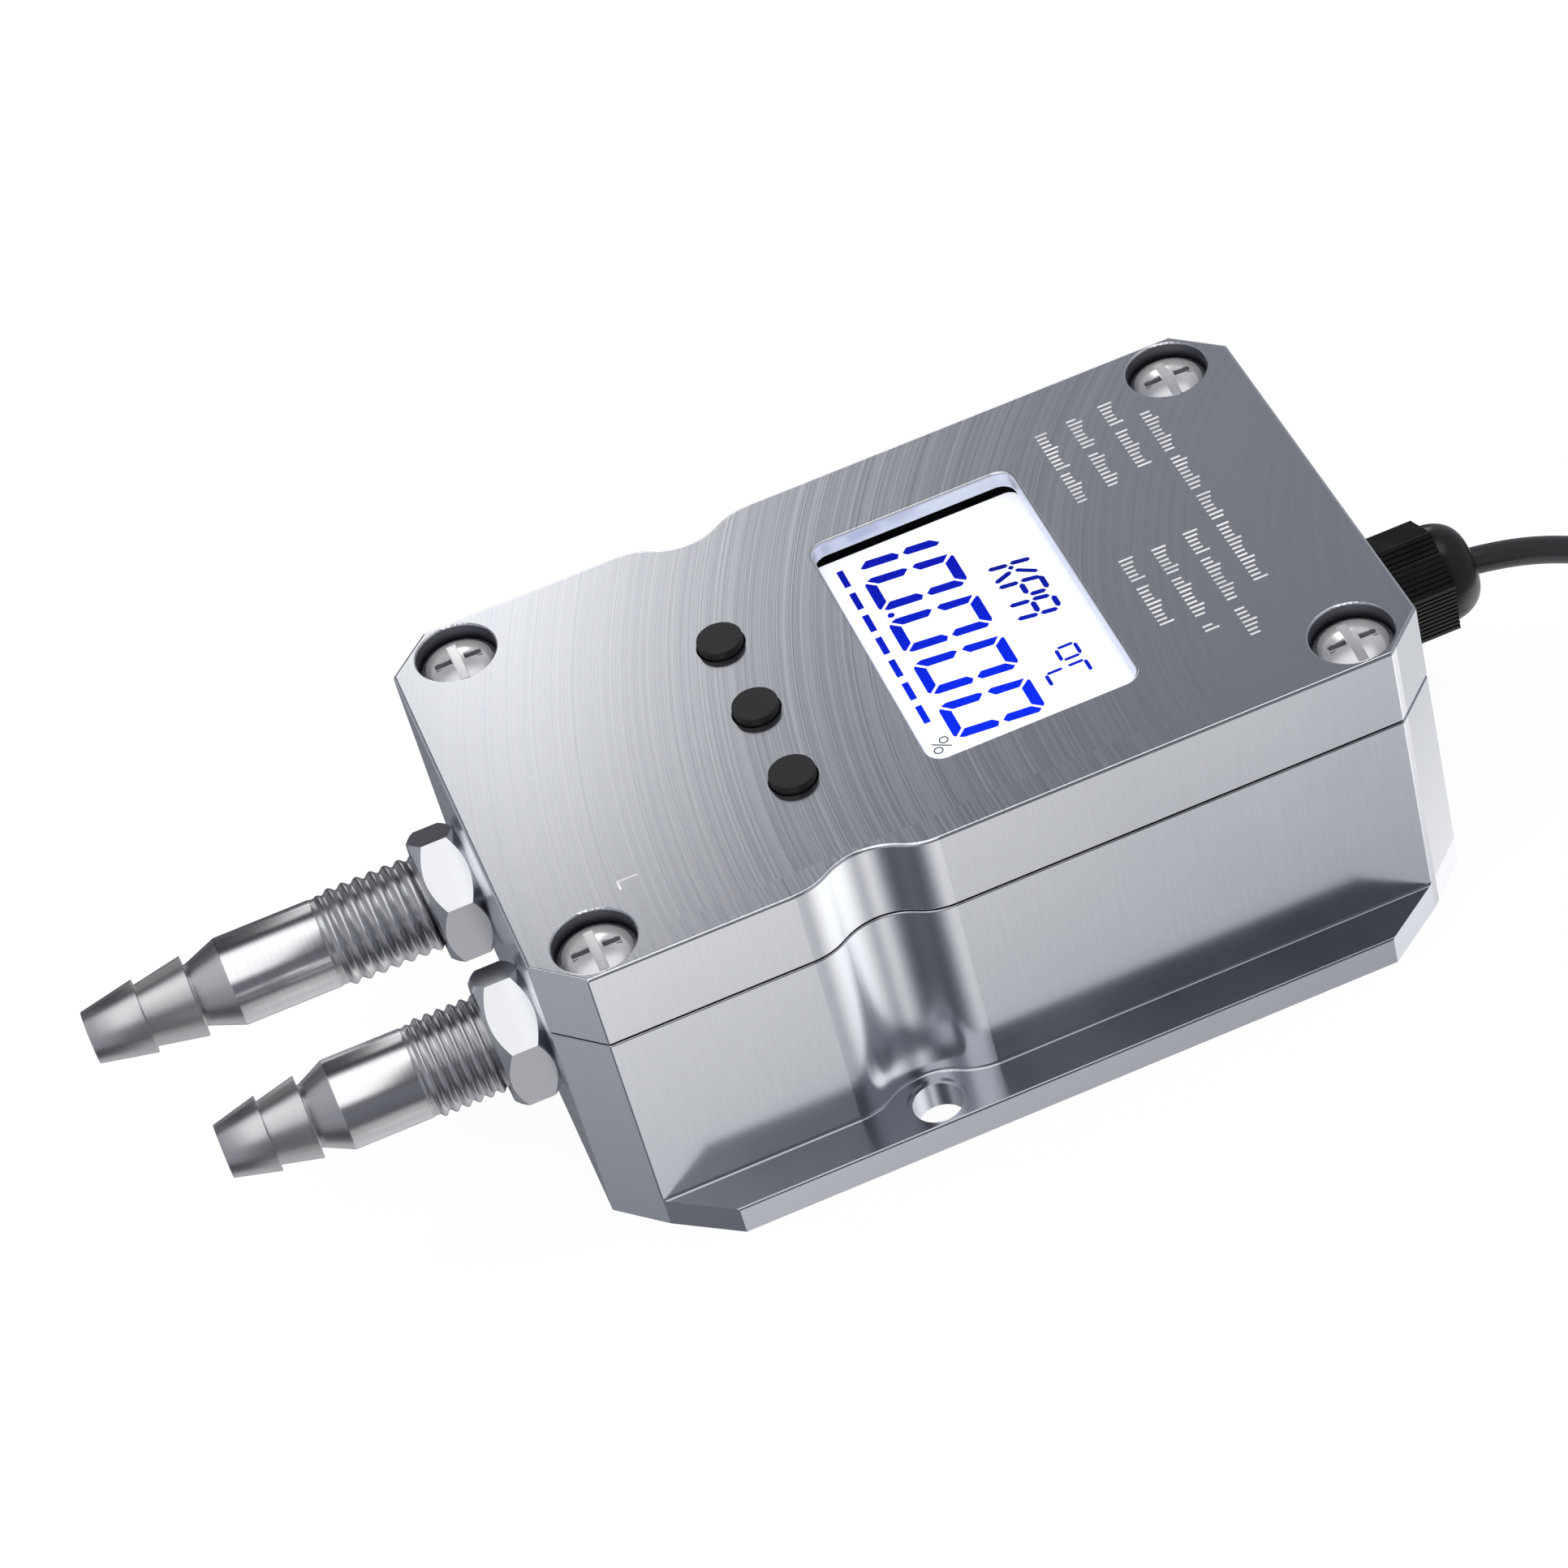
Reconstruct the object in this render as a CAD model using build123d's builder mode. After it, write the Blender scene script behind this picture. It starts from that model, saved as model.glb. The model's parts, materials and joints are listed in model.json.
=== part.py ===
import math
import os

from build123d import *

# Differential pressure transmitter in millimetres.
# The origin is the centre of the mounting face under the base. +Z leaves through the lid,
# +X points to the cable gland, -X to the hose barbs, and the flanges lie along -Y and +Y.

# Housing outline
housing_length = 115.0
housing_width = 69.6
corner_cut = 5.8
wall = 3.0
notch_x = -16.2
notch_half_length = 9.2
notch_depth = 2.9

# Base
base_height = 32.45
floor_thickness = 3.0
seam_edge = 0.2
corner_radius = 0.35

# Mounting flanges
flange_reach = 6.1
flange_thickness = 4.2
flange_end_run = 8.0
flange_edge = 0.3
junction_radius = 0.4
mount_hole_x = -16.0
mount_hole_offset = 2.05
mount_hole_radius = 3.2
spot_face_radius = 3.85
spot_face_depth = 0.3

# Gasket between base and lid
gasket_thickness = 0.3
gasket_inset = 0.7

# Lid
lid_height = 11.25
lid_top_thickness = 2.3
lid_edge_radius = 0.4

# Lid screws
screw_inset_x = 8.5
screw_inset_y = 5.9
counterbore_radius = 5.25
counterbore_depth = 2.8
counterbore_edge = 0.2
boss_wall = 1.6
screw_hole_clearance = 0.25
thread_clearance = 0.05
screw_radius = 2.0
screw_length = 20.0
screw_tip_room = 1.0
head_radius = 4.4
head_side = 0.3
head_dome = 1.0
slot_width = 1.3
slot_depth = 0.7
cross_width = 1.1
cross_length = 6.0
cross_depth = 1.2
washer_radius = 4.9
washer_thickness = 0.6
washer_clearance = 0.15

# Display window and what lies under it
window_x = 10.5
window_y = 0.1
window_width = 27.4
window_length = 44.6
window_corner = 2.1
window_edge = 0.4
lens_thickness = 1.0
lens_overlap = 2.5
frame_rim = 1.9
frame_margin = 0.4
frame_lip = 0.5
frame_height = 3.5
glass_overlap = 0.9
glass_clearance = 0.1
glass_thickness = 1.5

# Display board in the lid
display_board_min_x = -27.0
display_board_max_x = 33.0
display_board_side_gap = 4.3
board_thickness = 1.6
post_radius = 2.6
post_inset = 3.2
board_screw_radius = 1.25
board_screw_head_radius = 2.4
board_screw_head_height = 1.6
board_screw_grip = 4.0
board_screw_play = 0.2

# Push buttons and their switches
button_x = -18.8
button_y = -2.15
button_pitch = 13.65
button_radius = 2.925
button_proud = 1.2
button_clearance = 0.12
button_mouth_edge = 0.15
button_edge = 0.15
button_flange_radius = 3.8
button_flange_height = 0.9
button_flange_gap = 0.3
button_travel = 0.4
switch_side = 6.0
switch_height = 2.6
plunger_radius = 1.7
plunger_clearance = 0.1
plunger_sunk = 0.6

# Main board in the base
main_board_barb_gap = 18.5
main_board_gland_gap = 12.5
main_board_side_gap = 7.8
pillar_radius = 3.0
pillar_height = 7.0
pillar_inset = 4.0

# Pressure ports: two turned barbs screwed through the end wall
port_y = 13.9
port_z = 20.0
port_thread_radius = 6.35
port_boss_radius = 9.5
port_boss_length = 5.0
port_inner_proud = 0.5
port_bore_radius = 1.7
port_thread_reach = 16.2
port_relief = 0.4
port_barrel_radius = 5.9
port_barrel_length = 10.2
port_cone_length = 3.6
port_neck_radius = 4.17
port_neck_land = 0.2
port_rear_ridge_radius = 5.43
port_rear_ridge_length = 5.3
port_front_ridge_radius = 4.96
port_front_ridge_length = 5.9
port_tip_radius = 3.47
long_port_ratio = 1.257
port_nut_across_flats = 16.0
port_nut_thickness = 6.2
port_nut_turn = 31.0
nut_chamfer_angle = 30.0
spigot_radius = 2.0
spigot_bore_radius = 1.2
spigot_length = 3.2

# Pressure sensor and its tubes
sensor_inset = 6.0
sensor_length = 16.0
sensor_width = 18.0
sensor_height = 13.0
nipple_y = 4.5
nipple_length = 4.2
nipple_bore_depth = 3.0
tube_wall = 1.1
tube_clearance = 0.05
tube_end_gap = 0.3
tube_first_run = 5.7
tube_last_run = 6.7

# Terminal block, headers and ribbon
terminal_inset = 2.0
terminal_length = 10.0
terminal_width = 11.0
terminal_height = 10.4
header_length = 4.0
header_width = 14.0
header_height = 4.0
display_header_x = 10.0
main_header_x = 16.0
ribbon_width = 12.0
ribbon_thickness = 0.8
ribbon_bend = 2.0
ribbon_drop = 5.0

# Cable gland in the other end wall
gland_thread_radius = 6.25
gland_bore_radius = 2.3
gland_inner_proud = 5.0
gland_washer_radius = 8.2
gland_washer_thickness = 1.0
gland_hex_across_flats = 15.0
gland_hex_length = 4.5
gland_lock_across_flats = 17.0
gland_lock_thickness = 4.0
gland_neck_radius = 5.8
gland_neck_length = 6.5
gland_nut_across_flats = 13.4
gland_nut_turn = 4.0
gland_nut_gap = 0.3
gland_nut_length = 7.2
gland_dome_radius = 6.5
gland_dome_length = 4.5
gland_mouth_radius = 2.6
gland_mouth_length = 2.0
gland_mouth_rim = 0.6
rib_count = 10
rib_pitch = 0.7
rib_gap = 0.3
rib_depth = 0.35
seal_radius = 4.6
seal_lead = 1.0
fit_clearance = 0.05

# Cable: one metre of round cable with two cores
cable_diameter = 3.6
cable_inner_end = 10.0
core_radius = 0.6
core_spacing = 0.85
core_entry_spacing = 2.5
core_entry_z = 17.0
core_run = 2.5
coil_distance = 62.4
coil_y = 22.0
coil_mean_radius = 21.5
coil_abreast = 3
coil_layers = 2
lead_length = 26.0
lead_spread = 3.0
lead_tip_length = 6.0
lead_tip_radius = 0.4

# Heights and places worked out from the sizes above
half_length = housing_length / 2
half_width = housing_width / 2
lid_bottom = base_height + gasket_thickness
lid_top = lid_bottom + lid_height
lid_ceiling = lid_top - lid_top_thickness
boss_radius = counterbore_radius + boss_wall
screw_x = half_length - screw_inset_x
screw_y = half_width - screw_inset_y
screw_seat = lid_top - counterbore_depth
head_seat = screw_seat + washer_thickness
screw_spots = [(x * screw_x, y * screw_y) for x in (-1, 1) for y in (-1, 1)]
mount_spots = [(mount_hole_x, side * (half_width + mount_hole_offset)) for side in (-1, 1)]
inner_end = half_length - wall

lens_bottom = lid_ceiling - lens_thickness
display_board_top = lens_bottom - frame_height
display_board_bottom = display_board_top - board_thickness
display_board_half_width = half_width - wall - display_board_side_gap
display_board_length = display_board_max_x - display_board_min_x
display_board_x = (display_board_min_x + display_board_max_x) / 2
post_x_spread = display_board_length - 2 * post_inset
post_y_spread = 2 * (display_board_half_width - post_inset)
button_spots = [(button_x, button_y + step * button_pitch) for step in (1, 0, -1)]
button_bottom = lid_ceiling - button_flange_gap - button_flange_height

main_board_bottom = floor_thickness + pillar_height
main_board_top = main_board_bottom + board_thickness
main_board_min_x = main_board_barb_gap - inner_end
main_board_max_x = inner_end - main_board_gland_gap
main_board_half_width = half_width - wall - main_board_side_gap
sensor_min_x = main_board_min_x + sensor_inset
terminal_max_x = main_board_max_x - terminal_inset
main_board_length = main_board_max_x - main_board_min_x
main_board_x = (main_board_min_x + main_board_max_x) / 2
pillar_x_spread = main_board_length - 2 * pillar_inset
pillar_y_spread = 2 * (main_board_half_width - pillar_inset)

port_inner_end = inner_end - port_boss_length - port_inner_proud
gland_seat = half_length + gland_washer_thickness
gland_shoulder = gland_seat + gland_hex_length
gland_inner_end = inner_end - gland_inner_proud
gland_nut_start = gland_shoulder + gland_nut_gap
gland_dome_start = gland_nut_start + gland_nut_length
gland_tip = gland_dome_start + gland_dome_length
gland_mouth_start = gland_tip - gland_mouth_length
seal_start = gland_shoulder + seal_lead
cable_radius = cable_diameter / 2
cable_joint_x = gland_mouth_start + gland_mouth_rim
cable_inner_x = half_length - cable_inner_end
coil_x = cable_joint_x + coil_distance


# Plan of the housing, drawn as the near half and its mirror image
near_side = -half_width
notch_turn = 2 * math.degrees(math.atan(notch_depth / notch_half_length))
notch_radius = (notch_half_length**2 + notch_depth**2) / (4 * notch_depth)
with BuildSketch() as housing_plan:
    with BuildLine():
        approach = Polyline(
            (-half_length, near_side + corner_cut),
            (-half_length + corner_cut, near_side),
            (notch_x - notch_half_length, near_side),
        )
        entry = JernArc(approach @ 1, (1, 0), notch_radius, notch_turn)
        dip = JernArc(entry @ 1, entry % 1, notch_radius, -2 * notch_turn)
        leave = JernArc(dip @ 1, dip % 1, notch_radius, notch_turn)
        Polyline(
            leave @ 1,
            (half_length - corner_cut, near_side),
            (half_length, near_side + corner_cut),
        )
        mirror(about=Plane.XZ)
        Line((-half_length, near_side + corner_cut), (-half_length, -near_side - corner_cut))
        Line((half_length, near_side + corner_cut), (half_length, -near_side - corner_cut))
    make_face()

# Plan of the space inside the walls, less the screw bosses
with BuildSketch() as cavity_plan:
    add(housing_plan.sketch)
    offset(amount=-wall, mode=Mode.REPLACE)
    with Locations(*screw_spots):
        Circle(boss_radius, mode=Mode.SUBTRACT)

# Plan of the base at its flanges, whose ends carry on from the corner facets
flange_side = near_side - flange_reach
corner_x = half_length - corner_cut
flange_end_x = corner_x - flange_end_run
with BuildSketch() as flange_plan:
    with BuildLine():
        Polyline(
            (-half_length, near_side + corner_cut),
            (-corner_x, near_side),
            (-flange_end_x, flange_side),
            (flange_end_x, flange_side),
            (corner_x, near_side),
            (half_length, near_side + corner_cut),
        )
        mirror(about=Plane.XZ)
        Line((-half_length, near_side + corner_cut), (-half_length, -near_side - corner_cut))
        Line((half_length, near_side + corner_cut), (half_length, -near_side - corner_cut))
    make_face()

# Base housing
with BuildPart() as base_housing:
    with BuildSketch():
        add(housing_plan.sketch)
    extrude(amount=base_height)
    upright = base_housing.edges().filter_by(Axis.Z)
    corners = [edge for edge in upright if abs(edge.center().X) > screw_x]
    fillet(corners, corner_radius)
    rim = base_housing.faces().sort_by(Axis.Z)[-1]
    fillet(rim.edges(), seam_edge)
    # the foot of the walls is rounded on a wide plate, which is then cut to the flanges' plan
    with BuildSketch():
        Rectangle(housing_length + 4 * flange_reach, housing_width + 4 * flange_reach)
    extrude(amount=flange_thickness)
    wall_feet = [
        edge
        for edge in base_housing.edges()
        if abs(edge.center().Z - flange_thickness) < 0.01
        and abs(edge.center().Y) < half_width + 0.01
        and abs(edge.center().X) < half_length + 0.01
    ]
    fillet(wall_feet, junction_radius)
    with BuildSketch():
        add(flange_plan.sketch)
    extrude(amount=base_height, mode=Mode.INTERSECT)
    flange_tops = base_housing.faces().filter_by(Plane.XY).group_by(Axis.Z)[1]
    outer_edges = [
        edge
        for edge in flange_tops.edges()
        if abs(edge.center().Y) > half_width + flange_reach - 0.1
    ]
    fillet(outer_edges, flange_edge)
    with BuildSketch(Plane.XY.offset(base_height)):
        add(cavity_plan.sketch)
    extrude(amount=floor_thickness - base_height, mode=Mode.SUBTRACT)
    with BuildSketch(Plane.XY.offset(floor_thickness)):
        with Locations((main_board_x, 0)):
            with GridLocations(pillar_x_spread, pillar_y_spread, 2, 2):
                Circle(pillar_radius)
    extrude(amount=pillar_height)
    with BuildSketch(Plane.XY.offset(main_board_bottom)):
        with Locations((main_board_x, 0)):
            with GridLocations(pillar_x_spread, pillar_y_spread, 2, 2):
                Circle(board_screw_radius + thread_clearance)
    extrude(amount=-board_screw_grip - screw_tip_room, mode=Mode.SUBTRACT)
    with BuildSketch(Plane.YZ.offset(-inner_end)):
        with Locations((-port_y, port_z), (port_y, port_z)):
            Circle(port_boss_radius)
    extrude(amount=port_boss_length)
    with BuildSketch(Plane.YZ.offset(-half_length)):
        with Locations((-port_y, port_z), (port_y, port_z)):
            Circle(port_thread_radius + fit_clearance)
    extrude(amount=wall + port_boss_length, mode=Mode.SUBTRACT)
    with BuildSketch(Plane.YZ.offset(inner_end)):
        with Locations((0, port_z)):
            Circle(gland_thread_radius + fit_clearance)
    extrude(amount=wall, mode=Mode.SUBTRACT)
    with BuildSketch(Plane.XY.offset(base_height)):
        with Locations(*screw_spots):
            Circle(screw_radius + thread_clearance)
    extrude(amount=head_seat - screw_length - screw_tip_room - base_height, mode=Mode.SUBTRACT)
    with Locations(*[(x, y, flange_thickness) for x, y in mount_spots]):
        CounterBoreHole(mount_hole_radius, spot_face_radius, spot_face_depth)
base_housing.part.label = "base_housing"
export_step(base_housing.part, "parts/base_housing.step")

# Gasket in the seam
with BuildPart() as lid_gasket:
    with BuildSketch(Plane.XY.offset(base_height)):
        add(housing_plan.sketch)
        offset(amount=-gasket_inset, mode=Mode.REPLACE)
        add(cavity_plan.sketch, mode=Mode.SUBTRACT)
        with Locations(*screw_spots):
            Circle(screw_radius + screw_hole_clearance, mode=Mode.SUBTRACT)
    extrude(amount=gasket_thickness)
lid_gasket.part.label = "lid_gasket"
export_step(lid_gasket.part, "parts/lid_gasket.step")

# Lid
with BuildPart() as lid:
    with BuildSketch(Plane.XY.offset(lid_bottom)):
        add(housing_plan.sketch)
    extrude(amount=lid_height)
    upright = lid.edges().filter_by(Axis.Z)
    corners = [edge for edge in upright if abs(edge.center().X) > screw_x]
    fillet(corners, corner_radius)
    fillet(lid.faces().sort_by(Axis.Z)[-1].edges(), lid_edge_radius)
    fillet(lid.faces().sort_by(Axis.Z)[0].edges(), seam_edge)
    with BuildSketch(Plane.XY.offset(lid_bottom)):
        add(cavity_plan.sketch)
    extrude(amount=lid_height - lid_top_thickness, mode=Mode.SUBTRACT)
    with BuildSketch(Plane.XY.offset(lid_ceiling)):
        with Locations((display_board_x, 0)):
            with GridLocations(post_x_spread, post_y_spread, 2, 2):
                Circle(post_radius)
    extrude(amount=display_board_top - lid_ceiling)
    with BuildSketch(Plane.XY.offset(display_board_top)):
        with Locations((display_board_x, 0)):
            with GridLocations(post_x_spread, post_y_spread, 2, 2):
                Circle(board_screw_radius + thread_clearance)
    extrude(amount=board_screw_grip - board_thickness, mode=Mode.SUBTRACT)
    with BuildSketch(Plane.XY.offset(lid_top)):
        with Locations((window_x, window_y)):
            RectangleRounded(window_width, window_length, window_corner)
    extrude(amount=-lid_top_thickness, mode=Mode.SUBTRACT)
    with Locations(*[(x, y, lid_top) for x, y in button_spots]):
        Hole(button_radius + button_clearance, depth=lid_top_thickness)
    with Locations(*[(x, y, lid_top) for x, y in screw_spots]):
        CounterBoreHole(screw_radius + screw_hole_clearance, counterbore_radius, counterbore_depth)
    mouths = lid.faces().sort_by(Axis.Z)[-1].inner_wires().edges()
    round_mouths = mouths.filter_by(GeomType.CIRCLE)
    bore_mouths = [edge for edge in round_mouths if abs(edge.radius - counterbore_radius) < 0.01]
    fillet(bore_mouths, counterbore_edge)
    round_mouths = lid.faces().sort_by(Axis.Z)[-1].inner_wires().edges().filter_by(GeomType.CIRCLE)
    button_mouths = [edge for edge in round_mouths if abs(edge.radius - button_radius - button_clearance) < 0.01]
    fillet(button_mouths, button_mouth_edge)
    frame_mouths = lid.faces().sort_by(Axis.Z)[-1].inner_wires()
    window_mouth = frame_mouths.sort_by(SortBy.LENGTH)[-1]
    fillet(window_mouth.edges(), window_edge)
lid.part.label = "lid"
export_step(lid.part, "parts/lid.step")

# Lid screws with a slot and a cross pocket, and the washers under their heads
for number, (x, y) in enumerate(screw_spots, start=1):
    with BuildPart() as washer:
        with BuildSketch(Plane.XY.offset(screw_seat)):
            with Locations((x, y)):
                Circle(washer_radius)
                Circle(screw_radius + washer_clearance, mode=Mode.SUBTRACT)
        extrude(amount=washer_thickness)
    washer.part.label = f"lid_washer_{number}"
    export_step(washer.part, f"parts/lid_washer_{number}.step")

    head_top = head_seat + head_side + head_dome
    with BuildPart() as screw:
        with BuildSketch(Plane((x, y, 0), x_dir=(1, 0, 0), z_dir=(0, -1, 0))):
            with BuildLine():
                Polyline(
                    (0, head_top),
                    (0, head_seat - screw_length),
                    (screw_radius, head_seat - screw_length),
                    (screw_radius, head_seat),
                    (head_radius, head_seat),
                    (head_radius, head_seat + head_side),
                )
                dome = (head_radius**2 + head_dome**2) / (2 * head_dome)
                RadiusArc((head_radius, head_seat + head_side), (0, head_top), -dome)
            make_face()
        revolve(axis=Axis((x, y, 0), (0, 0, 1)))
        with BuildSketch(Plane.XY.offset(head_top)):
            with Locations((x, y)):
                Rectangle(slot_width, 2 * head_radius)
        extrude(amount=-slot_depth, mode=Mode.SUBTRACT)
        with BuildSketch(Plane.XY.offset(head_top)):
            with Locations((x, y)):
                Rectangle(cross_length, cross_width)
        extrude(amount=-cross_depth, mode=Mode.SUBTRACT)
    screw.part.label = f"lid_screw_{number}"
    export_step(screw.part, f"parts/lid_screw_{number}.step")

# Clear pane bonded under the window
with BuildPart() as window_lens:
    with BuildSketch(Plane.XY.offset(lens_bottom)):
        with Locations((window_x, window_y)):
            RectangleRounded(
                window_width + 2 * lens_overlap,
                window_length + 2 * lens_overlap,
                window_corner,
            )
    extrude(amount=lens_thickness)
window_lens.part.label = "window_lens"
export_step(window_lens.part, "parts/window_lens.step")

# Black display frame with a lip over the glass
opening_width = window_width + 2 * frame_margin
opening_length = window_length + 2 * frame_margin
pocket_width = opening_width + 2 * glass_overlap
pocket_length = opening_length + 2 * glass_overlap
with BuildPart() as lcd_frame:
    with BuildSketch(Plane.XY.offset(display_board_top)):
        with Locations((window_x, window_y)):
            Rectangle(opening_width + 2 * frame_rim, opening_length + 2 * frame_rim)
    extrude(amount=frame_height)
    with BuildSketch(Plane.XY.offset(display_board_top)):
        with Locations((window_x, window_y)):
            Rectangle(pocket_width, pocket_length)
    extrude(amount=frame_height - frame_lip, mode=Mode.SUBTRACT)
    with BuildSketch(Plane.XY.offset(lens_bottom)):
        with Locations((window_x, window_y)):
            RectangleRounded(opening_width, opening_length, window_corner)
    extrude(amount=-frame_lip, mode=Mode.SUBTRACT)
lcd_frame.part.label = "lcd_frame"
export_step(lcd_frame.part, "parts/lcd_frame.step")

# Display glass under the lip, and the light guide that fills the rest of the pocket
glass_bottom = lens_bottom - frame_lip - glass_thickness
with BuildPart() as lcd_glass:
    with BuildSketch(Plane.XY.offset(glass_bottom)):
        with Locations((window_x, window_y)):
            Rectangle(pocket_width - 2 * glass_clearance, pocket_length - 2 * glass_clearance)
    extrude(amount=glass_thickness)
lcd_glass.part.label = "lcd_glass"
export_step(lcd_glass.part, "parts/lcd_glass.step")

with BuildPart() as backlight:
    with BuildSketch(Plane.XY.offset(display_board_top)):
        with Locations((window_x, window_y)):
            Rectangle(pocket_width - 2 * glass_clearance, pocket_length - 2 * glass_clearance)
    extrude(amount=glass_bottom - display_board_top)
backlight.part.label = "backlight"
export_step(backlight.part, "parts/backlight.step")

# Display board on the lid's posts
with BuildPart() as display_board:
    with BuildSketch(Plane.XY.offset(display_board_bottom)):
        with Locations((display_board_x, 0)):
            Rectangle(display_board_length, 2 * display_board_half_width)
            with GridLocations(post_x_spread, post_y_spread, 2, 2):
                Circle(board_screw_radius + board_screw_play, mode=Mode.SUBTRACT)
    extrude(amount=board_thickness)
display_board.part.label = "display_board"
export_step(display_board.part, "parts/display_board.step")

with Locations((display_board_x, 0)):
    display_screw_spots = GridLocations(post_x_spread, post_y_spread, 2, 2).locations
for number, spot in enumerate(display_screw_spots, start=1):
    place = (spot.position.X, spot.position.Y)
    with BuildPart() as display_screw:
        with BuildSketch(Plane.XY.offset(display_board_bottom)):
            with Locations(place):
                Circle(board_screw_head_radius)
        extrude(amount=-board_screw_head_height)
        with BuildSketch(Plane.XY.offset(display_board_bottom)):
            with Locations(place):
                Circle(board_screw_radius)
        extrude(amount=board_screw_grip)
    display_screw.part.label = f"display_board_screw_{number}"
    export_step(display_screw.part, f"parts/display_board_screw_{number}.step")

# Push buttons, each over a switch whose plunger it carries down
for number, (x, y) in enumerate(button_spots, start=1):
    with BuildPart() as button:
        with BuildSketch(Plane.XY.offset(button_bottom)):
            with Locations((x, y)):
                Circle(button_flange_radius)
        extrude(amount=button_flange_height)
        with BuildSketch(Plane.XY.offset(button_bottom)):
            with Locations((x, y)):
                Circle(button_radius)
        extrude(amount=lid_top + button_proud - button_bottom)
        fillet(button.edges().sort_by(Axis.Z)[-1], button_edge)
    button.part.label = f"button_{number}"
    export_step(button.part, f"parts/button_{number}.step")

    switch_top = display_board_top + switch_height
    plunger_bottom = switch_top - plunger_sunk
    with BuildPart() as tact_switch:
        with BuildSketch(Plane.XY.offset(display_board_top)):
            with Locations((x, y)):
                Rectangle(switch_side, switch_side)
        extrude(amount=switch_height)
        with BuildSketch(Plane.XY.offset(switch_top)):
            with Locations((x, y)):
                Circle(plunger_radius + plunger_clearance)
        extrude(amount=-plunger_sunk - 2 * button_travel, mode=Mode.SUBTRACT)
    tact_switch.part.label = f"tact_switch_{number}"
    export_step(tact_switch.part, f"parts/tact_switch_{number}.step")

    with BuildPart() as plunger:
        with BuildSketch(Plane.XY.offset(plunger_bottom)):
            with Locations((x, y)):
                Circle(plunger_radius)
        extrude(amount=button_bottom - plunger_bottom)
    plunger.part.label = f"switch_plunger_{number}"
    export_step(plunger.part, f"parts/switch_plunger_{number}.step")

# Main board on the base's pillars
with BuildPart() as main_board:
    with BuildSketch(Plane.XY.offset(main_board_bottom)):
        with Locations((main_board_x, 0)):
            Rectangle(main_board_length, 2 * main_board_half_width)
            with GridLocations(pillar_x_spread, pillar_y_spread, 2, 2):
                Circle(board_screw_radius + board_screw_play, mode=Mode.SUBTRACT)
    extrude(amount=board_thickness)
main_board.part.label = "main_board"
export_step(main_board.part, "parts/main_board.step")

with Locations((main_board_x, 0)):
    main_screw_spots = GridLocations(pillar_x_spread, pillar_y_spread, 2, 2).locations
for number, spot in enumerate(main_screw_spots, start=1):
    place = (spot.position.X, spot.position.Y)
    with BuildPart() as main_screw:
        with BuildSketch(Plane.XY.offset(main_board_top)):
            with Locations(place):
                Circle(board_screw_head_radius)
        extrude(amount=board_screw_head_height)
        with BuildSketch(Plane.XY.offset(main_board_top)):
            with Locations(place):
                Circle(board_screw_radius)
        extrude(amount=-board_screw_grip)
    main_screw.part.label = f"main_board_screw_{number}"
    export_step(main_screw.part, f"parts/main_board_screw_{number}.step")

# Pressure sensor with two nipples that face the ports
with BuildPart() as pressure_sensor:
    with BuildSketch(Plane.XY.offset(main_board_top)):
        with Locations((sensor_min_x + sensor_length / 2, 0)):
            Rectangle(sensor_length, sensor_width)
    extrude(amount=sensor_height)
    with BuildSketch(Plane.YZ.offset(sensor_min_x)):
        with Locations((-nipple_y, port_z), (nipple_y, port_z)):
            Circle(spigot_radius)
    extrude(amount=-nipple_length)
    with BuildSketch(Plane.YZ.offset(sensor_min_x - nipple_length)):
        with Locations((-nipple_y, port_z), (nipple_y, port_z)):
            Circle(spigot_bore_radius)
    extrude(amount=nipple_bore_depth, mode=Mode.SUBTRACT)
pressure_sensor.part.label = "pressure_sensor"
export_step(pressure_sensor.part, "parts/pressure_sensor.step")

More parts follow.
